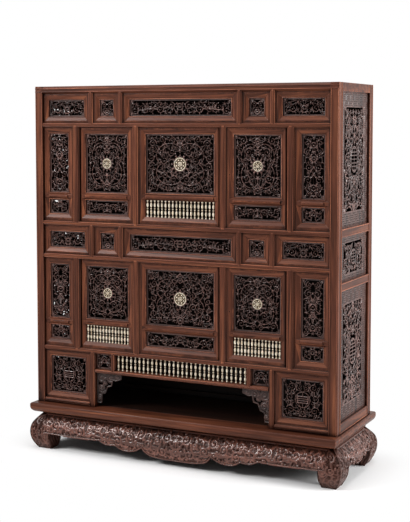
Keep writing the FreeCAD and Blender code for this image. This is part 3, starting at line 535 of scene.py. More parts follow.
def scatter(chance, low_x, high_x, low_z, high_z, cell, room, least_tries=4, pull=0.55):
    """Places for motifs in the left half of a field, large ones first, that only just touch each other.

    Those that are near the middle for their radius move onto it.
    """
    middle = (low_x + high_x) / 2
    cells = (middle - low_x) * (high_z - low_z) / cell ** 2
    spots = []
    for share, tries in MOTIFS:
        radius = share * cell
        count = int(tries * cells) + least_tries
        for x, z in zip(chance.uniform(low_x, middle, count), chance.uniform(low_z, high_z, count)):
            if middle - x < pull * radius:
                x = middle
            inside = min(x - low_x, z - low_z, high_z - z) > radius - EDGE_LAP
            own_half = x == middle or middle - x > radius - EDGE_LAP
            if not inside or not own_half or room(x, z) < radius - EDGE_LAP:
                continue
            if all(math.hypot(x - a, z - b) > radius + c - EDGE_LAP for a, b, c in spots):
                spots.append((x, z, radius))
    return spots


def scrollwork(carving, low_x, high_x, low_z, high_z, seed, cell=SCROLL_CELL, stem=STEM, room=open_room):
    """Fills a field with scrolls, flowers and leaves that grow into each other; the left half only."""
    chance = np.random.default_rng(seed)
    spots = scatter(chance, low_x, high_x, low_z, high_z, cell, room)
    for index, (x, z, radius) in enumerate(spots):
        hand = 1 if chance.random() < 0.5 else -1
        turn = chance.uniform(0, FULL_TURN)
        if radius > SPIRAL_FROM * cell:
            carving.spiral(x, z, radius - stem / 2, turn, hand, stem, SCROLL_RISE)
            for n in range(SPRAY):
                away = turn + hand * (SPRAY_FIRST + SPRAY_NEXT * n)
                carving.leaf(
                    *polar(x, z, SPRAY_AT * radius, away), away + hand * SPRAY_LEAN, radius * SPRAY_LENGTH,
                    stem * chance.uniform(*SPRAY_SWELL), SCROLL_RISE,
                )
        elif radius > FLOWER_FROM * cell:
            carving.flower(x, z, radius, turn, stem * SMALL_STEM, SCROLL_RISE)
        else:
            carving.spray(x, z, turn, SPRIG_NEXT, 0.0, radius * SPRIG_LENGTH, stem * SMALL_STEM, SPRIG_RISE)
        near = sorted(spots[:index], key=lambda spot: math.hypot(spot[0] - x, spot[1] - z) - spot[2])
        for a, b, c in near[:LINKS]:
            gap = max(math.hypot(a - x, b - z), 1.0)
            ends = [
                (x + (a - x) * LINK_FROM * radius / gap, z + (b - z) * LINK_FROM * radius / gap),
                (a - (a - x) * LINK_TO * c / gap, b - (b - z) * LINK_TO * c / gap),
            ]
            carving.stroke(ends, stem * LINK_SIZE, SCROLL_RISE * LINK_SIZE)


def corner_leaves(carving, side, end, length, stem, first=0.1, step=0.55):
    """A spray of leaves from each left corner of a field."""
    for foot, way in ((end, 1), (carving.height - end, -1)):
        carving.spray(side, foot, way * first, way * step, 0.0, length, stem, SCROLL_RISE)


# Front panels

PANEL_STEP = 1.55
PANEL_BORDER = 8.0
SQUARE_BORDER = 6.0
PANEL_INSET = 0.5
PANEL_LEAF = 16.0
# Panels of a door that are taller than this carry its medallion
TALL_PANEL = 150.0
# Beyond the medallion's edge: its ring, the feet of the rays and the first scrolls; within it, the hole
DISC_RING, RAY_FOOT, DISC_ROOM, DISC_SEAT = 2.4, 3.0, 9.0, 1.0
LINE_STEM, RING_STEM, LINE_RISE = STEM * 0.9, STEM * 1.1, SCROLL_RISE * 1.1
RAYS, RAY_LENGTH, RAY_HALF = 12, 11.0, 2.6
FRET_RING, FRET_ROOM = 31.0, 32.0


def fret(carving, x, z, wide=46.0, tall=26.0, levels=4, stem=2.2):
    """Level bars in a frame, tied by a short upright above and below."""
    left, right, low, high = x - wide / 2, x + wide / 2, z - tall / 2, z + tall / 2
    bars = [((left, level), (right, level)) for level in np.linspace(low, high, levels)]
    bars += [((edge, low), (edge, high)) for edge in (left, right)]
    bars += [((x, low), (x, z - tall)), ((x, high), (x, z + tall))]
    for ends in bars:
        carving.stroke(ends, stem, SCROLL_RISE)


def front_place(low, sunk):
    """Across is +X and outward is -Y, from a box's lowest corner."""
    def place(x, z, out):
        return np.stack([low[0] + x, low[1] + sunk - out, low[2] + z], 1)
    return place


def cartouche(wide, tall, count=121, size=0.39, hollow=0.70, lobe=0.32, ease=0.8):
    """A four-lobed line round the middle of a panel."""
    turn = np.linspace(0, FULL_TURN, count)
    reach = hollow + lobe * np.abs(np.sin(2 * turn)) ** ease
    return np.stack([wide / 2 + size * wide * reach * np.cos(turn), tall / 2 + size * tall * reach * np.sin(turn)], 1)


def panel(low, high, seed, disc=None, with_fret=False, border=PANEL_BORDER):
    """A pierced front panel within a node's box, with room for a disc or a fret in its middle."""
    wide, thick, tall = high - low
    middle = wide / 2, tall / 2
    carving = Carving(wide, tall, PANEL_STEP)
    room = open_room
    if disc:
        line = cartouche(wide, tall)
        carving.stroke(line, LINE_STEM, LINE_RISE)
        carving.ring(*middle, disc + DISC_RING, RING_STEM, SCROLL_RISE)
        for n in range(RAYS):
            away = FULL_TURN * n / RAYS
            carving.leaf(*polar(*middle, disc + RAY_FOOT, away), away, RAY_LENGTH, RAY_HALF, SCROLL_RISE)

        def room(x, z):
            from_line = np.hypot(line[:, 0] - x, line[:, 1] - z).min() - STEM
            return min(from_line, math.dist((x, z), middle) - disc - DISC_ROOM)
    if with_fret:
        fret(carving, *middle)
        carving.ring(*middle, FRET_RING, STEM, SCROLL_RISE)

        def room(x, z):
            return math.dist((x, z), middle) - FRET_ROOM
    corner_leaves(carving, border, border, PANEL_LEAF, STEM)
    inset = border + PANEL_INSET
    scrollwork(carving, inset, wide - inset, inset, tall - inset, seed, room=room)
    carving.mirror()
    if disc:
        hole = np.hypot(carving.x - middle[0], carving.z - middle[1]) - (disc - DISC_SEAT)
        carving.solid = np.minimum(carving.solid, hole)
    carving.border(border, border)
    carving.join_up()
    carving.rise = np.minimum(carving.rise, RELIEF_FULL)
    return carving.mesh(front_place(low, SUNK), thick - SUNK)


def named(ending):
    return sorted(name for name in NODES if name.endswith(ending))


def door_of(name):
    return name.rsplit("_door", 1)[0] + "_door"


for name in named("_door_openwork"):
    door = door_of(name)
    disc_low, disc_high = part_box(f"{door}_medallion")
    disc = (disc_high.x - disc_low.x) / 2 / MM
    seed = 20 if "centre" in door else 10
    parts = [panel(low, high, seed + n, disc if high[2] - low[2] > TALL_PANEL else None)
             for n, (low, high) in enumerate(islands(name))]
    build(f"{door}_carving", parts, CARVED["Z"], "carved_wood", door, name)

FIXED_PANELS = {"frieze_openwork": 30, "fixed_leaf_openwork": 40, "base_end_openwork": 50, "niche_square_openwork": 60}
for name, seed in FIXED_PANELS.items():
    border = SQUARE_BORDER if name == "niche_square_openwork" else PANEL_BORDER
    parts = [panel(low, high, seed + int(high[0] - low[0]), None, name == "base_end_openwork", border)
             for low, high in islands(name)]
    build(name.replace("openwork", "carving"), parts, CARVED["Z"], "carved_wood", ROOT, name)


# Side panels

SIDE_STEP = 2.2
SIDE_BORDER = 52.0
SIDE_INSET = 1
SIDE_LEAF = 30.0
SIDE_CELL, SIDE_STEM = 46.0, 2.9
SIDE_SEED = 70
# Depth of the woven ends, then half width, stretch and bars of the oval, in tall panels and in low ones
SIDE_TALL = 250
TALL_SIDE = (62.0, 38.0, 1.35, 7)
LOW_SIDE = (28.0, 30.0, 1.0, 5)
OVAL_BAR, OVAL_SPINE, OVAL_RING, OVAL_ROOM = 2.6, 2.4, 3.2, 3.0
SPINE_RISE = SCROLL_RISE * 0.8
WEAVE_CELL = 26.4
WEAVE_RISE = 2.2
# Lightness of the weave's hollows, in painted shade
WEAVE_HOLLOW = 0.2
# Flat margins of the weave at the ends and at the sides, outer and inner
END_MARGINS = (6, 5)
EDGE_MARGINS = (8, 6)


def side_place(low, high):
    """Across is +Y on the right side and -Y on the left; outward is away from the middle."""
    def place(x, z, out):
        if low[0] > 0:
            return np.stack([high[0] - SUNK + out, low[1] + x, low[2] + z], 1)
        return np.stack([low[0] + SUNK - out, high[1] - x, low[2] + z], 1)
    return place


def weave(x, z):
    """Basket weave: squares of three bars, level and upright by turns."""
    level = (np.floor(x / WEAVE_CELL) + np.floor(z / WEAVE_CELL)) % 2 == 0
    return WEAVE_RISE * np.abs(np.sin(3 * np.pi * np.where(level, z, x) / WEAVE_CELL))


def side_panel(low, high):
    """A pierced side panel: scrolls round an oval of level bars, woven bands round them."""
    thick, wide, tall = high - low
    carving = Carving(wide, tall, SIDE_STEP)
    end, half_wide, squash, bars = TALL_SIDE if tall > SIDE_TALL else LOW_SIDE
    half_tall = half_wide * squash
    x, z = middle = wide / 2, tall / 2
    for n in range(bars):
        level = (n - (bars - 1) / 2) / (bars / 2)
        reach = half_wide * math.sqrt(1 - level ** 2)
        height = z + level * half_tall
        carving.stroke([(x - reach, height), (x + reach, height)], OVAL_BAR, SCROLL_RISE)
    carving.stroke([(x, z - half_tall), (x, z + half_tall)], OVAL_SPINE, SPINE_RISE)
    carving.ring(*middle, half_wide, OVAL_RING, SCROLL_RISE, squash)

    def room(x, z):
        return (math.hypot(x - middle[0], (z - middle[1]) / squash) - half_wide) - OVAL_ROOM

    corner_leaves(carving, SIDE_BORDER, end, SIDE_LEAF, SIDE_STEM)
    side, foot = SIDE_BORDER + SIDE_INSET, end + SIDE_INSET
    scrollwork(carving, side, wide - side, foot, tall - foot, SIDE_SEED + int(tall), SIDE_CELL, SIDE_STEM, room)
    carving.mirror()
    carving.border(SIDE_BORDER, end)
    woven = weave(carving.x, carving.z)
    margin = np.minimum(carving.z, tall - carving.z)
    edge = np.minimum(carving.x, wide - carving.x)
    banded = (margin > END_MARGINS[0]) & (edge > EDGE_MARGINS[0])
    banded &= (margin < end - END_MARGINS[1]) | (edge < SIDE_BORDER - EDGE_MARGINS[1])
    carving.rise = np.where(banded, np.maximum(carving.rise, woven), carving.rise)
    # Painted shade in the weave's hollows, up to the flat margins' lightness on its bars
    lightness = WEAVE_HOLLOW + (FLAT_LIGHT - WEAVE_HOLLOW) * woven / WEAVE_RISE
    carving.least_light = np.where(banded, lightness, carving.least_light)
    carving.join_up()
    carving.rise = np.minimum(carving.rise, RELIEF_FULL)
    return carving.mesh(side_place(low, high), thick - SUNK)


build(
    "side_carving", [side_panel(low, high) for low, high in islands("side_openwork")],
    CARVED["Z"], "carved_wood", ROOT, "side_openwork",
)


# Medallions: pierced bone discs

DISC_SUNK = 2.6
# Place and size of the knobs on the spokes by turns, as shares of the radius
KNOBS = ((0.28, 0.11), (0.62, 0.13))


def medallion(low, high, step=0.8, spokes=16, rise=2.4, spoke_rise=1.3, knob_rise=2.3, trim=0.05):
    """A rim, and spokes that end in knobs round a heart."""
    wide, thick, _ = high - low
    radius = wide / 2
    carving = Carving(wide, wide, step)
    rim, heart, outer = 0.075 * radius, 0.14 * radius, 0.92 * radius
    rim_half, spoke_half = rim * 0.98, rim * 0.42
    carving.ring(radius, radius, radius - rim, rim_half, rise)
    for n in range(spokes):
        turn = FULL_TURN * n / spokes
        reach, size = KNOBS[n % 2]
        ends = [polar(radius, radius, far, turn) for far in (reach * radius, outer)]
        carving.stroke(ends, spoke_half, spoke_rise)
        carving.dab(*ends[0], size * radius, knob_rise)
    carving.dab(radius, radius, heart, rise)
    inside = radius - trim - np.hypot(carving.x - radius, carving.z - radius)
    carving.solid = np.minimum(carving.solid, inside)
    carving.join_up()
    return carving.mesh(front_place(low, DISC_SUNK), thick - DISC_SUNK)


for name in named("_medallion"):
    discs = [medallion(*islands(name)[0])]
    build(name.replace("medallion", "roundel"), discs, CARVED_BONE, "bone", door_of(name), name)


# Balusters: turned bone, swelling twice round a middle bead

HALF_BALUSTER = (
    (0.0, 0.72), (0.06, 0.8), (0.09, 0.5), (0.13, 0.4), (0.2, 0.74), (0.28, 1.0), (0.36, 0.82), (0.42, 0.42),
    (0.455, 0.36), (0.475, 0.66),
)
BALUSTER_SHARES = (*HALF_BALUSTER, (0.5, 0.8), *((1.0 - up, wide) for up, wide in HALF_BALUSTER[::-1]))
BALUSTER_SIDES = 16


def close_rings(number):
    """Quads between rings of numbered points from the foot up, and across both ends."""
    after = np.roll(number, -1, 1)
    faces = [np.stack([number[:-1], after[:-1], after[1:], number[1:]], -1).reshape(-1, 4)]
    half = number.shape[1] // 2
    for loop, way in ((number[0], -1), (number[-1], 1)):
        left, right = loop[:half + 1], np.append(loop[half:], loop[0])[::-1]
        faces.append(np.stack([left[:-1], left[1:], right[1:], right[:-1]], 1)[:, ::way])
    return np.concatenate(faces)


def baluster(low, high):
    """A turned post within a node's box."""
    middle = (low + high) / 2
    wide, _, tall = high - low
    points = np.array([
        (*polar(middle[0], middle[1], wide / 2 * share, FULL_TURN * n / BALUSTER_SIDES), low[2] + up * tall)
        for up, share in BALUSTER_SHARES for n in range(BALUSTER_SIDES)
    ])
    # Painted shade: the narrower the turning, the darker
    shade = np.repeat([share for _, share in BALUSTER_SHARES], BALUSTER_SIDES)
    return points, close_rings(np.arange(len(points)).reshape(-1, BALUSTER_SIDES)), shade


for name in named("_balusters"):
    posts = [baluster(low, high) for low, high in islands(name)]
    home = door_of(name) if "_door_" in name else ROOT
    build(name.replace("balusters", "turnings"), posts, TURNED_BONE, "bone", home, name)


# Spandrels: stepped, scrolled brackets in the niche's corners

SPANDREL_SHARES = (
    (0.0, 0.0), (1.0, 0.0), (1.0, 0.16), (0.8, 0.24), (0.66, 0.22), (0.6, 0.42), (0.44, 0.46),
    (0.36, 0.66), (0.22, 0.7), (0.2, 1.0), (0.0, 1.0),
)
# Place across and down, radius and hand of each scroll
SPANDREL_SCROLLS = (
    (0.2, 0.17, 0.19, 1), (0.55, 0.15, 0.15, -1), (0.2, 0.52, 0.15, -1), (0.84, 0.1, 0.1, 1), (0.11, 0.82, 0.1, 1),
)
SPANDREL_RISE = 2.3
# Least lightness of the spandrels' ground: painted shade, lighter than the panels' hollows
SPANDREL_LIGHT = 0.4
FAR = 1e9


def inside_outline(x, z, outline):
    """Distance inside a closed outline, negative outside."""
    far = np.full(x.shape, FAR)
    inside = np.zeros(x.shape, bool)
    for (x0, z0), (x1, z1) in zip(outline, outline[1:] + outline[:1]):
        dx, dz = x1 - x0, z1 - z0
        t = np.clip(((x - x0) * dx + (z - z0) * dz) / (dx * dx + dz * dz), 0, 1)
        far = np.minimum(far, np.hypot(x - x0 - t * dx, z - z0 - t * dz))
        if z0 != z1:
            inside ^= ((z0 > z) != (z1 > z)) & (x < x0 + (z - z0) * dx / dz)
    return np.where(inside, far, -far)


def spandrel(low, high, step=1.4, turn=0.6, stem=3.6, ground=6.0, rim=6.0, hem=2.4, hem_rise=2.2):
    """Scrolls and fronds with ground left standing round them, within a rim and a hem along the outline."""
    wide, thick, tall = high - low
    carving = Carving(wide, tall, step)
    corner, way = (wide, -1) if low[0] > 0 else (0.0, 1)
    outline = [(corner + way * wide * across, tall - tall * down) for across, down in SPANDREL_SHARES]
    depth = inside_outline(carving.x, carving.z, outline)
    for across, down, radius, hand in SPANDREL_SCROLLS:
        x, z = corner + way * wide * across, tall * (1 - down)
        carving.spiral(x, z, radius * wide, turn * hand, hand * way, stem, SPANDREL_RISE)
        carving.spray(x, z, first=1.1, step=2.1, reach=0.16 * wide, length=14.0, width=4.0, rise=SPANDREL_RISE)
    carving.solid = np.minimum(np.maximum(carving.solid + ground, rim - depth), depth)
    carving.least_light += SPANDREL_LIGHT
    crest = np.clip(1.0 - np.abs(depth - hem) / hem, 0, 1)
    carving.rise = np.maximum(carving.rise, hem_rise * np.sqrt(crest))
    carving.join_up()
    return carving.mesh(front_place(low, SUNK), thick - SUNK)


build(
    "niche_spandrel_carving", [spandrel(low, high) for low, high in islands("niche_spandrels")],
    CARVED["X"], "carved_wood", ROOT, "niche_spandrels",
)


# Stand: bellied aprons and drum legs, carved all over

BELLY_SHARES = ((0.0, 0.36), (0.2, 0.8), (0.38, 1.0), (0.6, 1.0), (0.74, 0.83), (0.88, 0.43), (1.0, 0.0))
LEG_INSIDE_SHARES = ((0.0, 0.62), (0.2, 0.72), (0.45, 0.72), (0.7, 0.7), (1.0, 0.7))
CLOUD_SHARES = (
    ((0.0, 0.16), (0.1, 0.17), (0.17, 0.2), (0.22, 0.29), (0.25, 0.42)),
    ((0.25, 0.42), (0.29, 0.32), (0.34, 0.27), (0.4, 0.28), (0.45, 0.39)),
    ((0.45, 0.39), (0.49, 0.37), (0.53, 0.39), (0.57, 0.47)),
    ((0.57, 0.47), (0.66, 0.45), (0.8, 0.45), (1.0, 0.46)),
)
SIDE_CLOUD_SHARES = (
    ((0.0, 0.36), (0.12, 0.37), (0.22, 0.41), (0.28, 0.5)),
    ((0.28, 0.5), (0.38, 0.43), (0.48, 0.44), (0.55, 0.52)),
    ((0.55, 0.52), (0.7, 0.47), (0.85, 0.48), (1.0, 0.52)),
)

leg_high = np.array(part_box("front_legs")[1]) / MM
waist_high = np.array(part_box("stand_waist")[1]) / MM
LEG_HEIGHT = leg_high[2]
BELLY = leg_high[0] - waist_high[0]
BELLY_TRIM = 1.4
CARVE_DEPTH = 4.6
# Height of the scrolls, and of the small leaves between them
SCROLL_SHARE, GROUND_SHARE = 1.4, 0.62
FIELD_SIDE, FIELD_HEAD = 2, 4
APRON_THICKNESS = 26.0
APRON_FOOT = 2
# How far an apron's end stays from the waist's corner
APRON_END = 30.0
# Cell and stem of the scrolls and of the small leaves
APRON_LAYERS = ((52.0, 5.0), (27.0, 3.2))
# Plain lines along the lower edge and the head: place, half width, clear ground and rise
HEM_AT, HEM_HALF, HEM_CLEAR, HEM_RISE = 4.0, 3.6, 8.5, 4.0
HEAD_AT, HEAD_HALF = 5.0, 4.0


def smooth_through(points, at):
    """A smooth line through points, read off at the places in at."""
    x, y = np.array(points, float).T
    gap = np.diff(x)
    count = len(x)
    matrix = np.eye(count)
    right = np.zeros(count)
    for n in range(1, count - 1):
        matrix[n, n - 1:n + 2] = gap[n - 1], 2 * (gap[n - 1] + gap[n]), gap[n]
        right[n] = 6 * ((y[n + 1] - y[n]) / gap[n] - (y[n] - y[n - 1]) / gap[n - 1])
    curve = np.linalg.solve(matrix, right)
    n = np.clip(np.searchsorted(x, at) - 1, 0, count - 2)
    t, h = at - x[n], gap[n]
    slope = (y[n + 1] - y[n]) / h - h * (2 * curve[n] + curve[n + 1]) / 6
    return y[n] + slope * t + curve[n] * t ** 2 / 2 + (curve[n + 1] - curve[n]) * t ** 3 / (6 * h)


def belly(z):
    return BELLY * smooth_through(BELLY_SHARES, np.clip(z / LEG_HEIGHT, 0, 1)) - BELLY_TRIM


def cloud_edge(half_span, cloud, count=40):
    points = []
    for stretch in cloud:
        shares = np.linspace(stretch[0][0], stretch[-1][0], count)
        points.append(np.stack([shares * half_span, smooth_through(stretch, shares) * LEG_HEIGHT], 1))
    return np.concatenate(points)


def stand_relief(width, height, step, high_x, low_z, layers, seed):
    """Scrolls, with small leaves on the ground between them; the left half of the field only."""
    carving, ground = (Carving(width, height, step) for _ in layers)
    for n, (layer, (cell, stem)) in enumerate(zip((carving, ground), layers)):
        scrollwork(layer, FIELD_SIDE, high_x, low_z, height - FIELD_HEAD, seed + n, cell, stem)
    carving.rise = np.maximum(carving.rise * SCROLL_SHARE, ground.rise * GROUND_SHARE)
    return carving


def apron(half_span, cloud, seed, step=2.0, reach=16.0, full=20.0):
    """Relief carving over a bellied apron with a scalloped lower edge."""
    edge = cloud_edge(half_span, cloud)
    low_z = edge[:, 1].min() - APRON_FOOT
    wide, tall = 2 * half_span, LEG_HEIGHT - low_z
    carving = stand_relief(wide, tall, step, wide - FIELD_SIDE, APRON_FOOT, APRON_LAYERS, seed)
    carving.mirror()
    edge = np.concatenate([edge[::-1] * (-1, 1), edge]) + (half_span, -low_z)
    below = np.interp(carving.across, edge[:, 0], edge[:, 1])
    near = np.full(carving.x.shape, FAR)
    for x, z in edge:
        part = carving.window(x, z, reach)
        near[part] = np.minimum(near[part], np.hypot(carving.x[part] - x, carving.z[part] - z))
    depth = np.where(carving.z > below, near, -np.minimum(near, full))
    hem = np.clip(1.0 - np.abs(depth - HEM_AT) / HEM_HALF, 0, 1)
    head = np.clip(1.0 - np.abs(tall - HEAD_AT - carving.z) / HEAD_HALF, 0, 1)
    carving.rise = np.where(depth < HEM_CLEAR, 0.0, carving.rise)
    carving.rise = np.maximum(carving.rise, HEM_RISE * np.sqrt(np.maximum(hem, head)))
    carving.rise = np.minimum(carving.rise, CARVE_DEPTH)
    carving.solid = np.minimum(depth, full)
    return carving, low_z


def apron_parts(half_span, waist, cloud, turns, seed):
    carving, low_z = apron(half_span, cloud, seed)
    parts = []
    for turn in turns:
        cosine, sine = round(math.cos(turn)), round(math.sin(turn))

        def place(x, z, out):
            front = waist + belly(z + low_z) - CARVE_DEPTH
            depth = np.where(out < 0, front + CARVE_DEPTH - APRON_THICKNESS, front + out)
            along = x - half_span
            return np.stack([cosine * along + sine * depth, sine * along - cosine * depth, z + low_z], 1)

        parts.append(carving.mesh(place, 1.0))
    return parts


long_span, short_span = waist_high[0] - APRON_END, waist_high[1] - APRON_END
long_aprons = apron_parts(long_span, waist_high[1], CLOUD_SHARES, (0.0, math.pi), 91)
build("front_apron_carving", long_aprons[:1], STAND["X"], "carved_wood", ROOT, "front_apron")
build("rear_apron_carving", long_aprons[1:], STAND["X"], "carved_wood", ROOT, "rear_apron")
short_aprons = apron_parts(short_span, waist_high[0], SIDE_CLOUD_SHARES, (math.pi / 2, -math.pi / 2), 93)
build("side_apron_carving", short_aprons, STAND["Y"], "carved_wood", ROOT, "side_aprons")

LEG_WIDTH = 80.0
LEG_TRIM = 0.3
LEG_STEP, LEG_FOOT = 1.8, 6
LEG_LAYERS = ((44.0, 4.4), (26.0, 3.0))
LEG_SEED = 95
LEG_ROWS, LEG_CELLS = 80, 46
# How light the legs' carving is beside the aprons', and their plain inner faces beside the carving, in painted shade
# and highlight
LEG_LIGHT, INSIDE_LIGHT = 0.78, 0.85


def leg_relief(foot_top=0.36, foot_fade=16.0, foot_rise=2.2, eye_x=13.0, eye_up=0.5, eye_radius=6.5,
               eye_rise=-7.0):
    """Relief for one outer face of a leg, across from its inner edge: a scroll, a deep eye and a foot of low relief.
    """
    high_x = 2 * LEG_WIDTH - FIELD_SIDE
    carving = stand_relief(LEG_WIDTH, LEG_HEIGHT, LEG_STEP, high_x, LEG_FOOT, LEG_LAYERS, LEG_SEED)
    carving.spiral(x=20.0, z=LEG_HEIGHT * 0.42, radius=17.0, turn=1.6, hand=1, stem=4.2, rise=CARVE_DEPTH,
                   turns=1.4)
    low = np.clip((LEG_HEIGHT * foot_top - carving.z) / foot_fade, 0, 1)
    rise = (1 - low) * carving.rise + low * (foot_rise + 0.5 * carving.rise)
    eye = np.hypot(carving.x - eye_x, carving.z - LEG_HEIGHT * eye_up)
    carving.rise = np.where(eye < eye_radius, eye_rise, np.minimum(rise, CARVE_DEPTH))
    return carving


LEG_RELIEF = leg_relief()


def leg(way_x, way_y, corner_cut=2.4, corner_share=0.05, plain_share=0.06, grooves=5.0, groove_depth=3.0,
        sway=0.3, sway_length=70.0):
    """A drum leg: a bulging square post with carved outer faces, in rings from the floor up.

    Towards the outer corner the relief runs out, and the corner is rounded. The inner faces are grooved.
    """
    levels = np.linspace(0.0, LEG_HEIGHT, LEG_ROWS + 1)[:, None]
    share = np.linspace(0.0, 1.0, LEG_CELLS + 1)
    outer = belly(levels)
    inner = -LEG_WIDTH * smooth_through(LEG_INSIDE_SHARES, levels / LEG_HEIGHT) + LEG_TRIM
    read_x = (share * LEG_RELIEF.columns).round().astype(int)
    read_z = (levels / LEG_HEIGHT * LEG_RELIEF.rows).round().astype(int)
    rise = np.minimum(LEG_RELIEF.rise[read_z, read_x] - CARVE_DEPTH, 0.0)
    rise = rise * np.clip((1.0 - share) / plain_share, 0, 1)
    rise = rise - corner_cut * np.exp(-((1.0 - share) / corner_share) ** 2)
    run = inner + share * (outer - inner)
    wave = share * grooves + sway * np.sin(FULL_TURN * levels / sway_length)
    groove = groove_depth * (0.5 + 0.5 * np.sin(FULL_TURN * wave)) * np.sin(math.pi * share) ** 0.5
    carved, plain = outer + rise, inner + groove
    # Painted shade: darker in the carving's hollows and in the grooves of the inner faces
    carved_shade = np.clip(1.0 + rise / RELIEF_FULL, 0, 1)
    plain_shade = np.clip(INSIDE_LIGHT - groove / RELIEF_FULL, 0, 1)
    # Across the front, back along the outside, then round the two plain inner faces
    sides = (
        (run, carved, carved_shade, 1), (carved, run, carved_shade, -1),
        (run, plain, plain_shade, -1), (plain, run, plain_shade, 1),
    )
    x, y, shade = (np.concatenate([side[n][:, ::side[3]][:, :-1] for side in sides], 1) for n in range(3))
    x, y = way_x * (waist_high[0] + x), way_y * (waist_high[1] + y)
    points = np.stack([x, y, np.broadcast_to(levels, x.shape)], -1).reshape(-1, 3)
    faces = close_rings(np.arange(x.size).reshape(x.shape))
    return points, faces[:, ::-1] if way_x * way_y > 0 else faces, shade.ravel() * LEG_LIGHT


build("front_leg_carving", [leg(-1, -1), leg(1, -1)], STAND["Z"], "carved_wood", ROOT, "front_legs")
build("rear_leg_carving", [leg(-1, 1), leg(1, 1)], STAND["Z"], "carved_wood", ROOT, "rear_legs")


# Mouldings: fine beads along the posts and rails, and round the windows

BEAD_HALF = 2.0
BEAD_RISE = 1.8
BEAD_INSET = 3.6
TOP_INSET = 10.4
SPLAY_DROP = 10.0
SPLAY_RUNS = {
    "mullions": 11.0, "frieze_dividers": 9.0, "niche_posts": 9.0, "niche_small_posts": 8.0,
    "front_rails": 8.0, "bottom_rails": 8.0, "niche_lintel": 8.0,
}
# Where a bead lies on a splayed edge, from its foot, 0, to the ridge, 1
SPLAY_SHARE = 0.6
# How far a bead on an upright stops from the end that is scribed to a rail
MITRE = 8.0 * (1.0 - SPLAY_SHARE)
BEAD_SECTION = ((-1.0, -0.3), (-1.0, 0.35), (-0.45, 1.0), (0.45, 1.0), (1.0, 0.35), (1.0, -0.3))
LIP_SECTION = ((-1.0, -1.5), (-1.0, 1.0), (-0.2, 1.8), (1.2, 1.8), (2.2, 0.9), (2.2, -1.5))
SIDES = len(BEAD_SECTION)
BEAD_ENDS = [(0, 3, 2, 1), (0, 5, 4, 3), (6, 7, 8, 9), (6, 9, 10, 11)]
PANEL_BACK = 4.0


def bead(start, end, across, out):
    """A straight half-round bead on a face, closed at both ends."""
    section = [np.multiply(across, BEAD_HALF * u) + np.multiply(out, BEAD_RISE * v) for u, v in BEAD_SECTION]
    points = np.array([np.add(tip, offset) for tip in (start, end) for offset in section])
    faces = [(n, (n + 1) % SIDES, (n + 1) % SIDES + SIDES, n + SIDES) for n in range(SIDES)]
    faces = np.array(faces + BEAD_ENDS)
    if np.dot(np.cross(across, out), np.subtract(end, start)) > 0:
        faces = faces[:, ::-1]
    return points, faces, np.ones(len(points))


def lip(low, high):
    """A mitred bead round a window, at the foot of its bevels."""
    corners = (
        (low[0], low[2], 1, 1), (high[0], low[2], -1, 1), (high[0], high[2], -1, -1), (low[0], high[2], 1, -1),
    )
    foot = low[1] - PANEL_BACK
    points = np.array([
        (x + u * way_x, foot - v, z + u * way_z) for x, z, way_x, way_z in corners for u, v in LIP_SECTION
    ])
    number = np.arange(len(points)).reshape(-1, SIDES)
    after, turned = np.roll(number, -1, 0), np.roll(number, -1, 1)
    faces = np.stack([after, np.roll(after, -1, 1), turned, number], -1).reshape(-1, 4)
    return points, faces, np.ones(len(points))


def splay_beads(name, cut_low=0.0, cut_high=0.0):
    """A bead on each splayed edge of a node's bars, which stand or lie level."""
    run = SPLAY_RUNS[name]
    slant = math.hypot(run, SPLAY_DROP)
    beads = []
    for low, high in islands(name):
        side, along = (0, 2) if high[2] - low[2] > high[0] - low[0] else (2, 0)
        for foot, way in ((low[side], 1), (high[side], -1)):
            start, across, out = np.zeros((3, 3))
            start[side] = foot + way * run * SPLAY_SHARE
            start[1] = low[1] + SPLAY_DROP * (1.0 - SPLAY_SHARE)
            end = start.copy()
            start[along], end[along] = low[along] + cut_low, high[along] - cut_high
            across[[side, 1]] = way * run / slant, -SPLAY_DROP / slant
            out[[side, 1]] = -way * SPLAY_DROP / slant, -run / slant
            beads.append(bead(start, end, across, out))
    return beads


def face_beads(low, high, along, side, inset=BEAD_INSET):
    """A bead near each edge of a bar's front, or of its outer face at the cabinet's sides."""
    face = 3 - along - side
    way, flush = (1, high) if face == 0 and low[0] > 0 else (-1, low)
    across, out = np.zeros((2, 3))
    across[side], out[face] = 1, way
    beads = []
    for place in (low[side] + inset, high[side] - inset):
        start, end = low.copy(), high.copy()
        for tip in (start, end):
            tip[side], tip[face] = place, flush[face]
        beads.append(bead(start, end, across, out))
    return beads


top_low, top_high = islands("top_rails")[0]
# The beads on the posts' fronts end at the lower bead of the top rail
post_head = top_low[2] + TOP_INSET
uprights = [face_beads(low, np.array([*high[:2], post_head]), 2, 0) for low, high in islands("front_posts")]
uprights += [splay_beads(name, MITRE, MITRE) for name in ("mullions", "frieze_dividers", "niche_small_posts")]
uprights += [splay_beads("niche_posts", 0.0, MITRE)]
uprights += [face_beads(*box, 2, 1) for box in islands("front_posts") + islands("rear_posts")]
build("upright_mouldings", sum(uprights, []), WOODS["Z"], "frame_wood", ROOT)
levels = [splay_beads(name) for name in ("front_rails", "bottom_rails", "niche_lintel")]
levels += [face_beads(top_low, top_high, 0, 2, TOP_INSET)]
build("level_mouldings", sum(levels, []), WOODS["X"], "frame_wood", ROOT)
rails = [face_beads(*box, 1, 2) for box in islands("side_rails")]
build("side_rail_mouldings", sum(rails, []), WOODS["Y"], "frame_wood", ROOT)
lips = [lip(*box) for name in ("frieze_openwork", "fixed_leaf_openwork", "base_end_openwork") for box in islands(name)]
build("window_mouldings", lips, WOODS["X"], "frame_wood", ROOT)
for name in named("_door_openwork"):
    lips = [lip(*box) for box in islands(name)]
    build(f"{door_of(name)}_mouldings", lips, WOODS["X"], "frame_wood", door_of(name))


# Softened edges

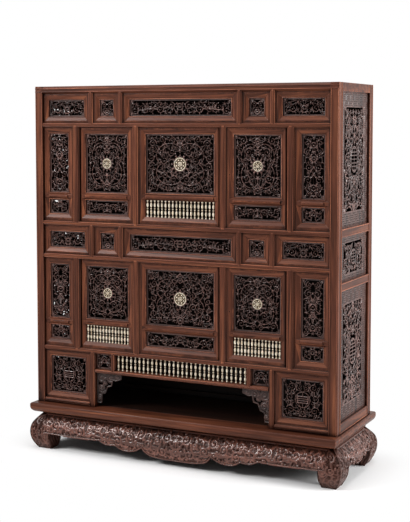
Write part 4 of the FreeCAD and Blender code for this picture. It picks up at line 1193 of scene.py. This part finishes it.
# Solids that keep their edges: rounding would close up the latches' mortises in the mullions
SHARP_NODES = ("top_rails", "back_boards", "mullions")
WELD_GAP = 0.01 * MM
EDGE_ROUND = 1.5 * MM

for name, thing in NODES.items():
    if not thing.hide_render and name not in SHARP_NODES:
        thing.modifiers.new("joined", "WELD").merge_threshold = WELD_GAP
        bevel = thing.modifiers.new("edges", "BEVEL")
        bevel.width = EDGE_ROUND
        bevel.segments = 2
        bevel.limit_method = "ANGLE"
        bevel.angle_limit = math.radians(28)
        bevel.use_clamp_overlap = True


# Floor, light and camera

WHITE = (1.0, 1.0, 1.0, 1.0)
PALE = (0.9, 0.9, 0.9, 1.0)
FLOOR_REACH = 12.0
# Half width and half depth of the floor that keeps the shadow, and where it starts and ends to fade
SHADOW_HALF = (0.69, 0.2, 0.0)
FADE = {"From Min": 0.01, "From Max": 0.26}
SKY_LIGHT = 0.22
# Name, place, target, size and power
LAMPS = (
    ("key", (-3.0, -3.4, 3.6), (0.0, 0.0, 0.8), (1.8, 1.8), 258.0),
    ("side", (4.6, 0.9, 2.0), (0.6, 0.0, 0.8), (2.0, 2.0), 262.0),
    ("top", (0.3, -0.6, 4.2), (0.0, 0.0, 0.9), (3.2, 2.2), 95.0),
)


def floor_material():
    """White for the camera far from the object; near it a matt floor that keeps the shadow."""
    material = bpy.data.materials.new("pale_floor")
    nodes = Nodes(material)
    nodes.shade({"Base Color": PALE, "Roughness": 0.9, "Specular IOR Level": 0.1})
    spread = nodes.vector("ABSOLUTE", nodes.add("ShaderNodeTexCoord").outputs["Object"])
    outside = nodes.vector("MAXIMUM", nodes.vector("SUBTRACT", spread, SHADOW_HALF), (0.0, 0.0, 0.0))
    far = nodes.add("ShaderNodeVectorMath", outside, operation="LENGTH").outputs["Value"]
    fade = nodes.add("ShaderNodeMapRange", interpolation_type="SMOOTHSTEP", Value=far, **FADE).outputs[0]
    share = nodes.calc("MULTIPLY", fade, nodes.rays("Is Camera Ray", "Is Glossy Ray"))
    glow = nodes.add("ShaderNodeEmission", Color=WHITE, Strength=1.0).outputs[0]
    nodes.blend("Material Output", share, nodes.shader.outputs[0], glow)
    return material


floor_mesh = bpy.data.meshes.new("floor")
corners = [(x * FLOOR_REACH, y * FLOOR_REACH, 0) for x, y in ((-1, -1), (1, -1), (1, 1), (-1, 1))]
floor_mesh.from_pydata(corners, [], [(0, 1, 2, 3)])
floor_mesh.materials.append(floor_material())
floor = add_object("floor", floor_mesh)

world = bpy.data.worlds.new("studio")
bpy.context.scene.world = world
sky = Nodes(world)
soft, white = (sky.add("ShaderNodeBackground", Color=WHITE, Strength=power).outputs[0] for power in (SKY_LIGHT, 1.0))
sky.blend("World Output", sky.rays("Is Camera Ray", "Is Transmission Ray", "Is Glossy Ray"), soft, white)

for name, place, target, size, power in LAMPS:
    light = bpy.data.lights.new(name, "AREA")
    light.shape = "RECTANGLE"
    light.size, light.size_y = size
    light.energy = power
    lamp = add_object(name, light)
    lamp.location = place
    lamp.rotation_euler = (Vector(target) - Vector(place)).to_track_quat("-Z", "Y").to_euler()

camera_data = bpy.data.cameras.new("camera")
camera_data.sensor_width = 36.0
camera_data.lens = 80.63
camera_data.shift_y = -0.1061
camera = add_object("camera", camera_data)
camera.location = (2.2079, -4.5039, 1.4409)
camera.rotation_euler = (math.pi / 2 - 0.07, 0.0, 0.45168)
bpy.context.scene.camera = camera
bpy.context.scene.view_settings.view_transform = "Standard"
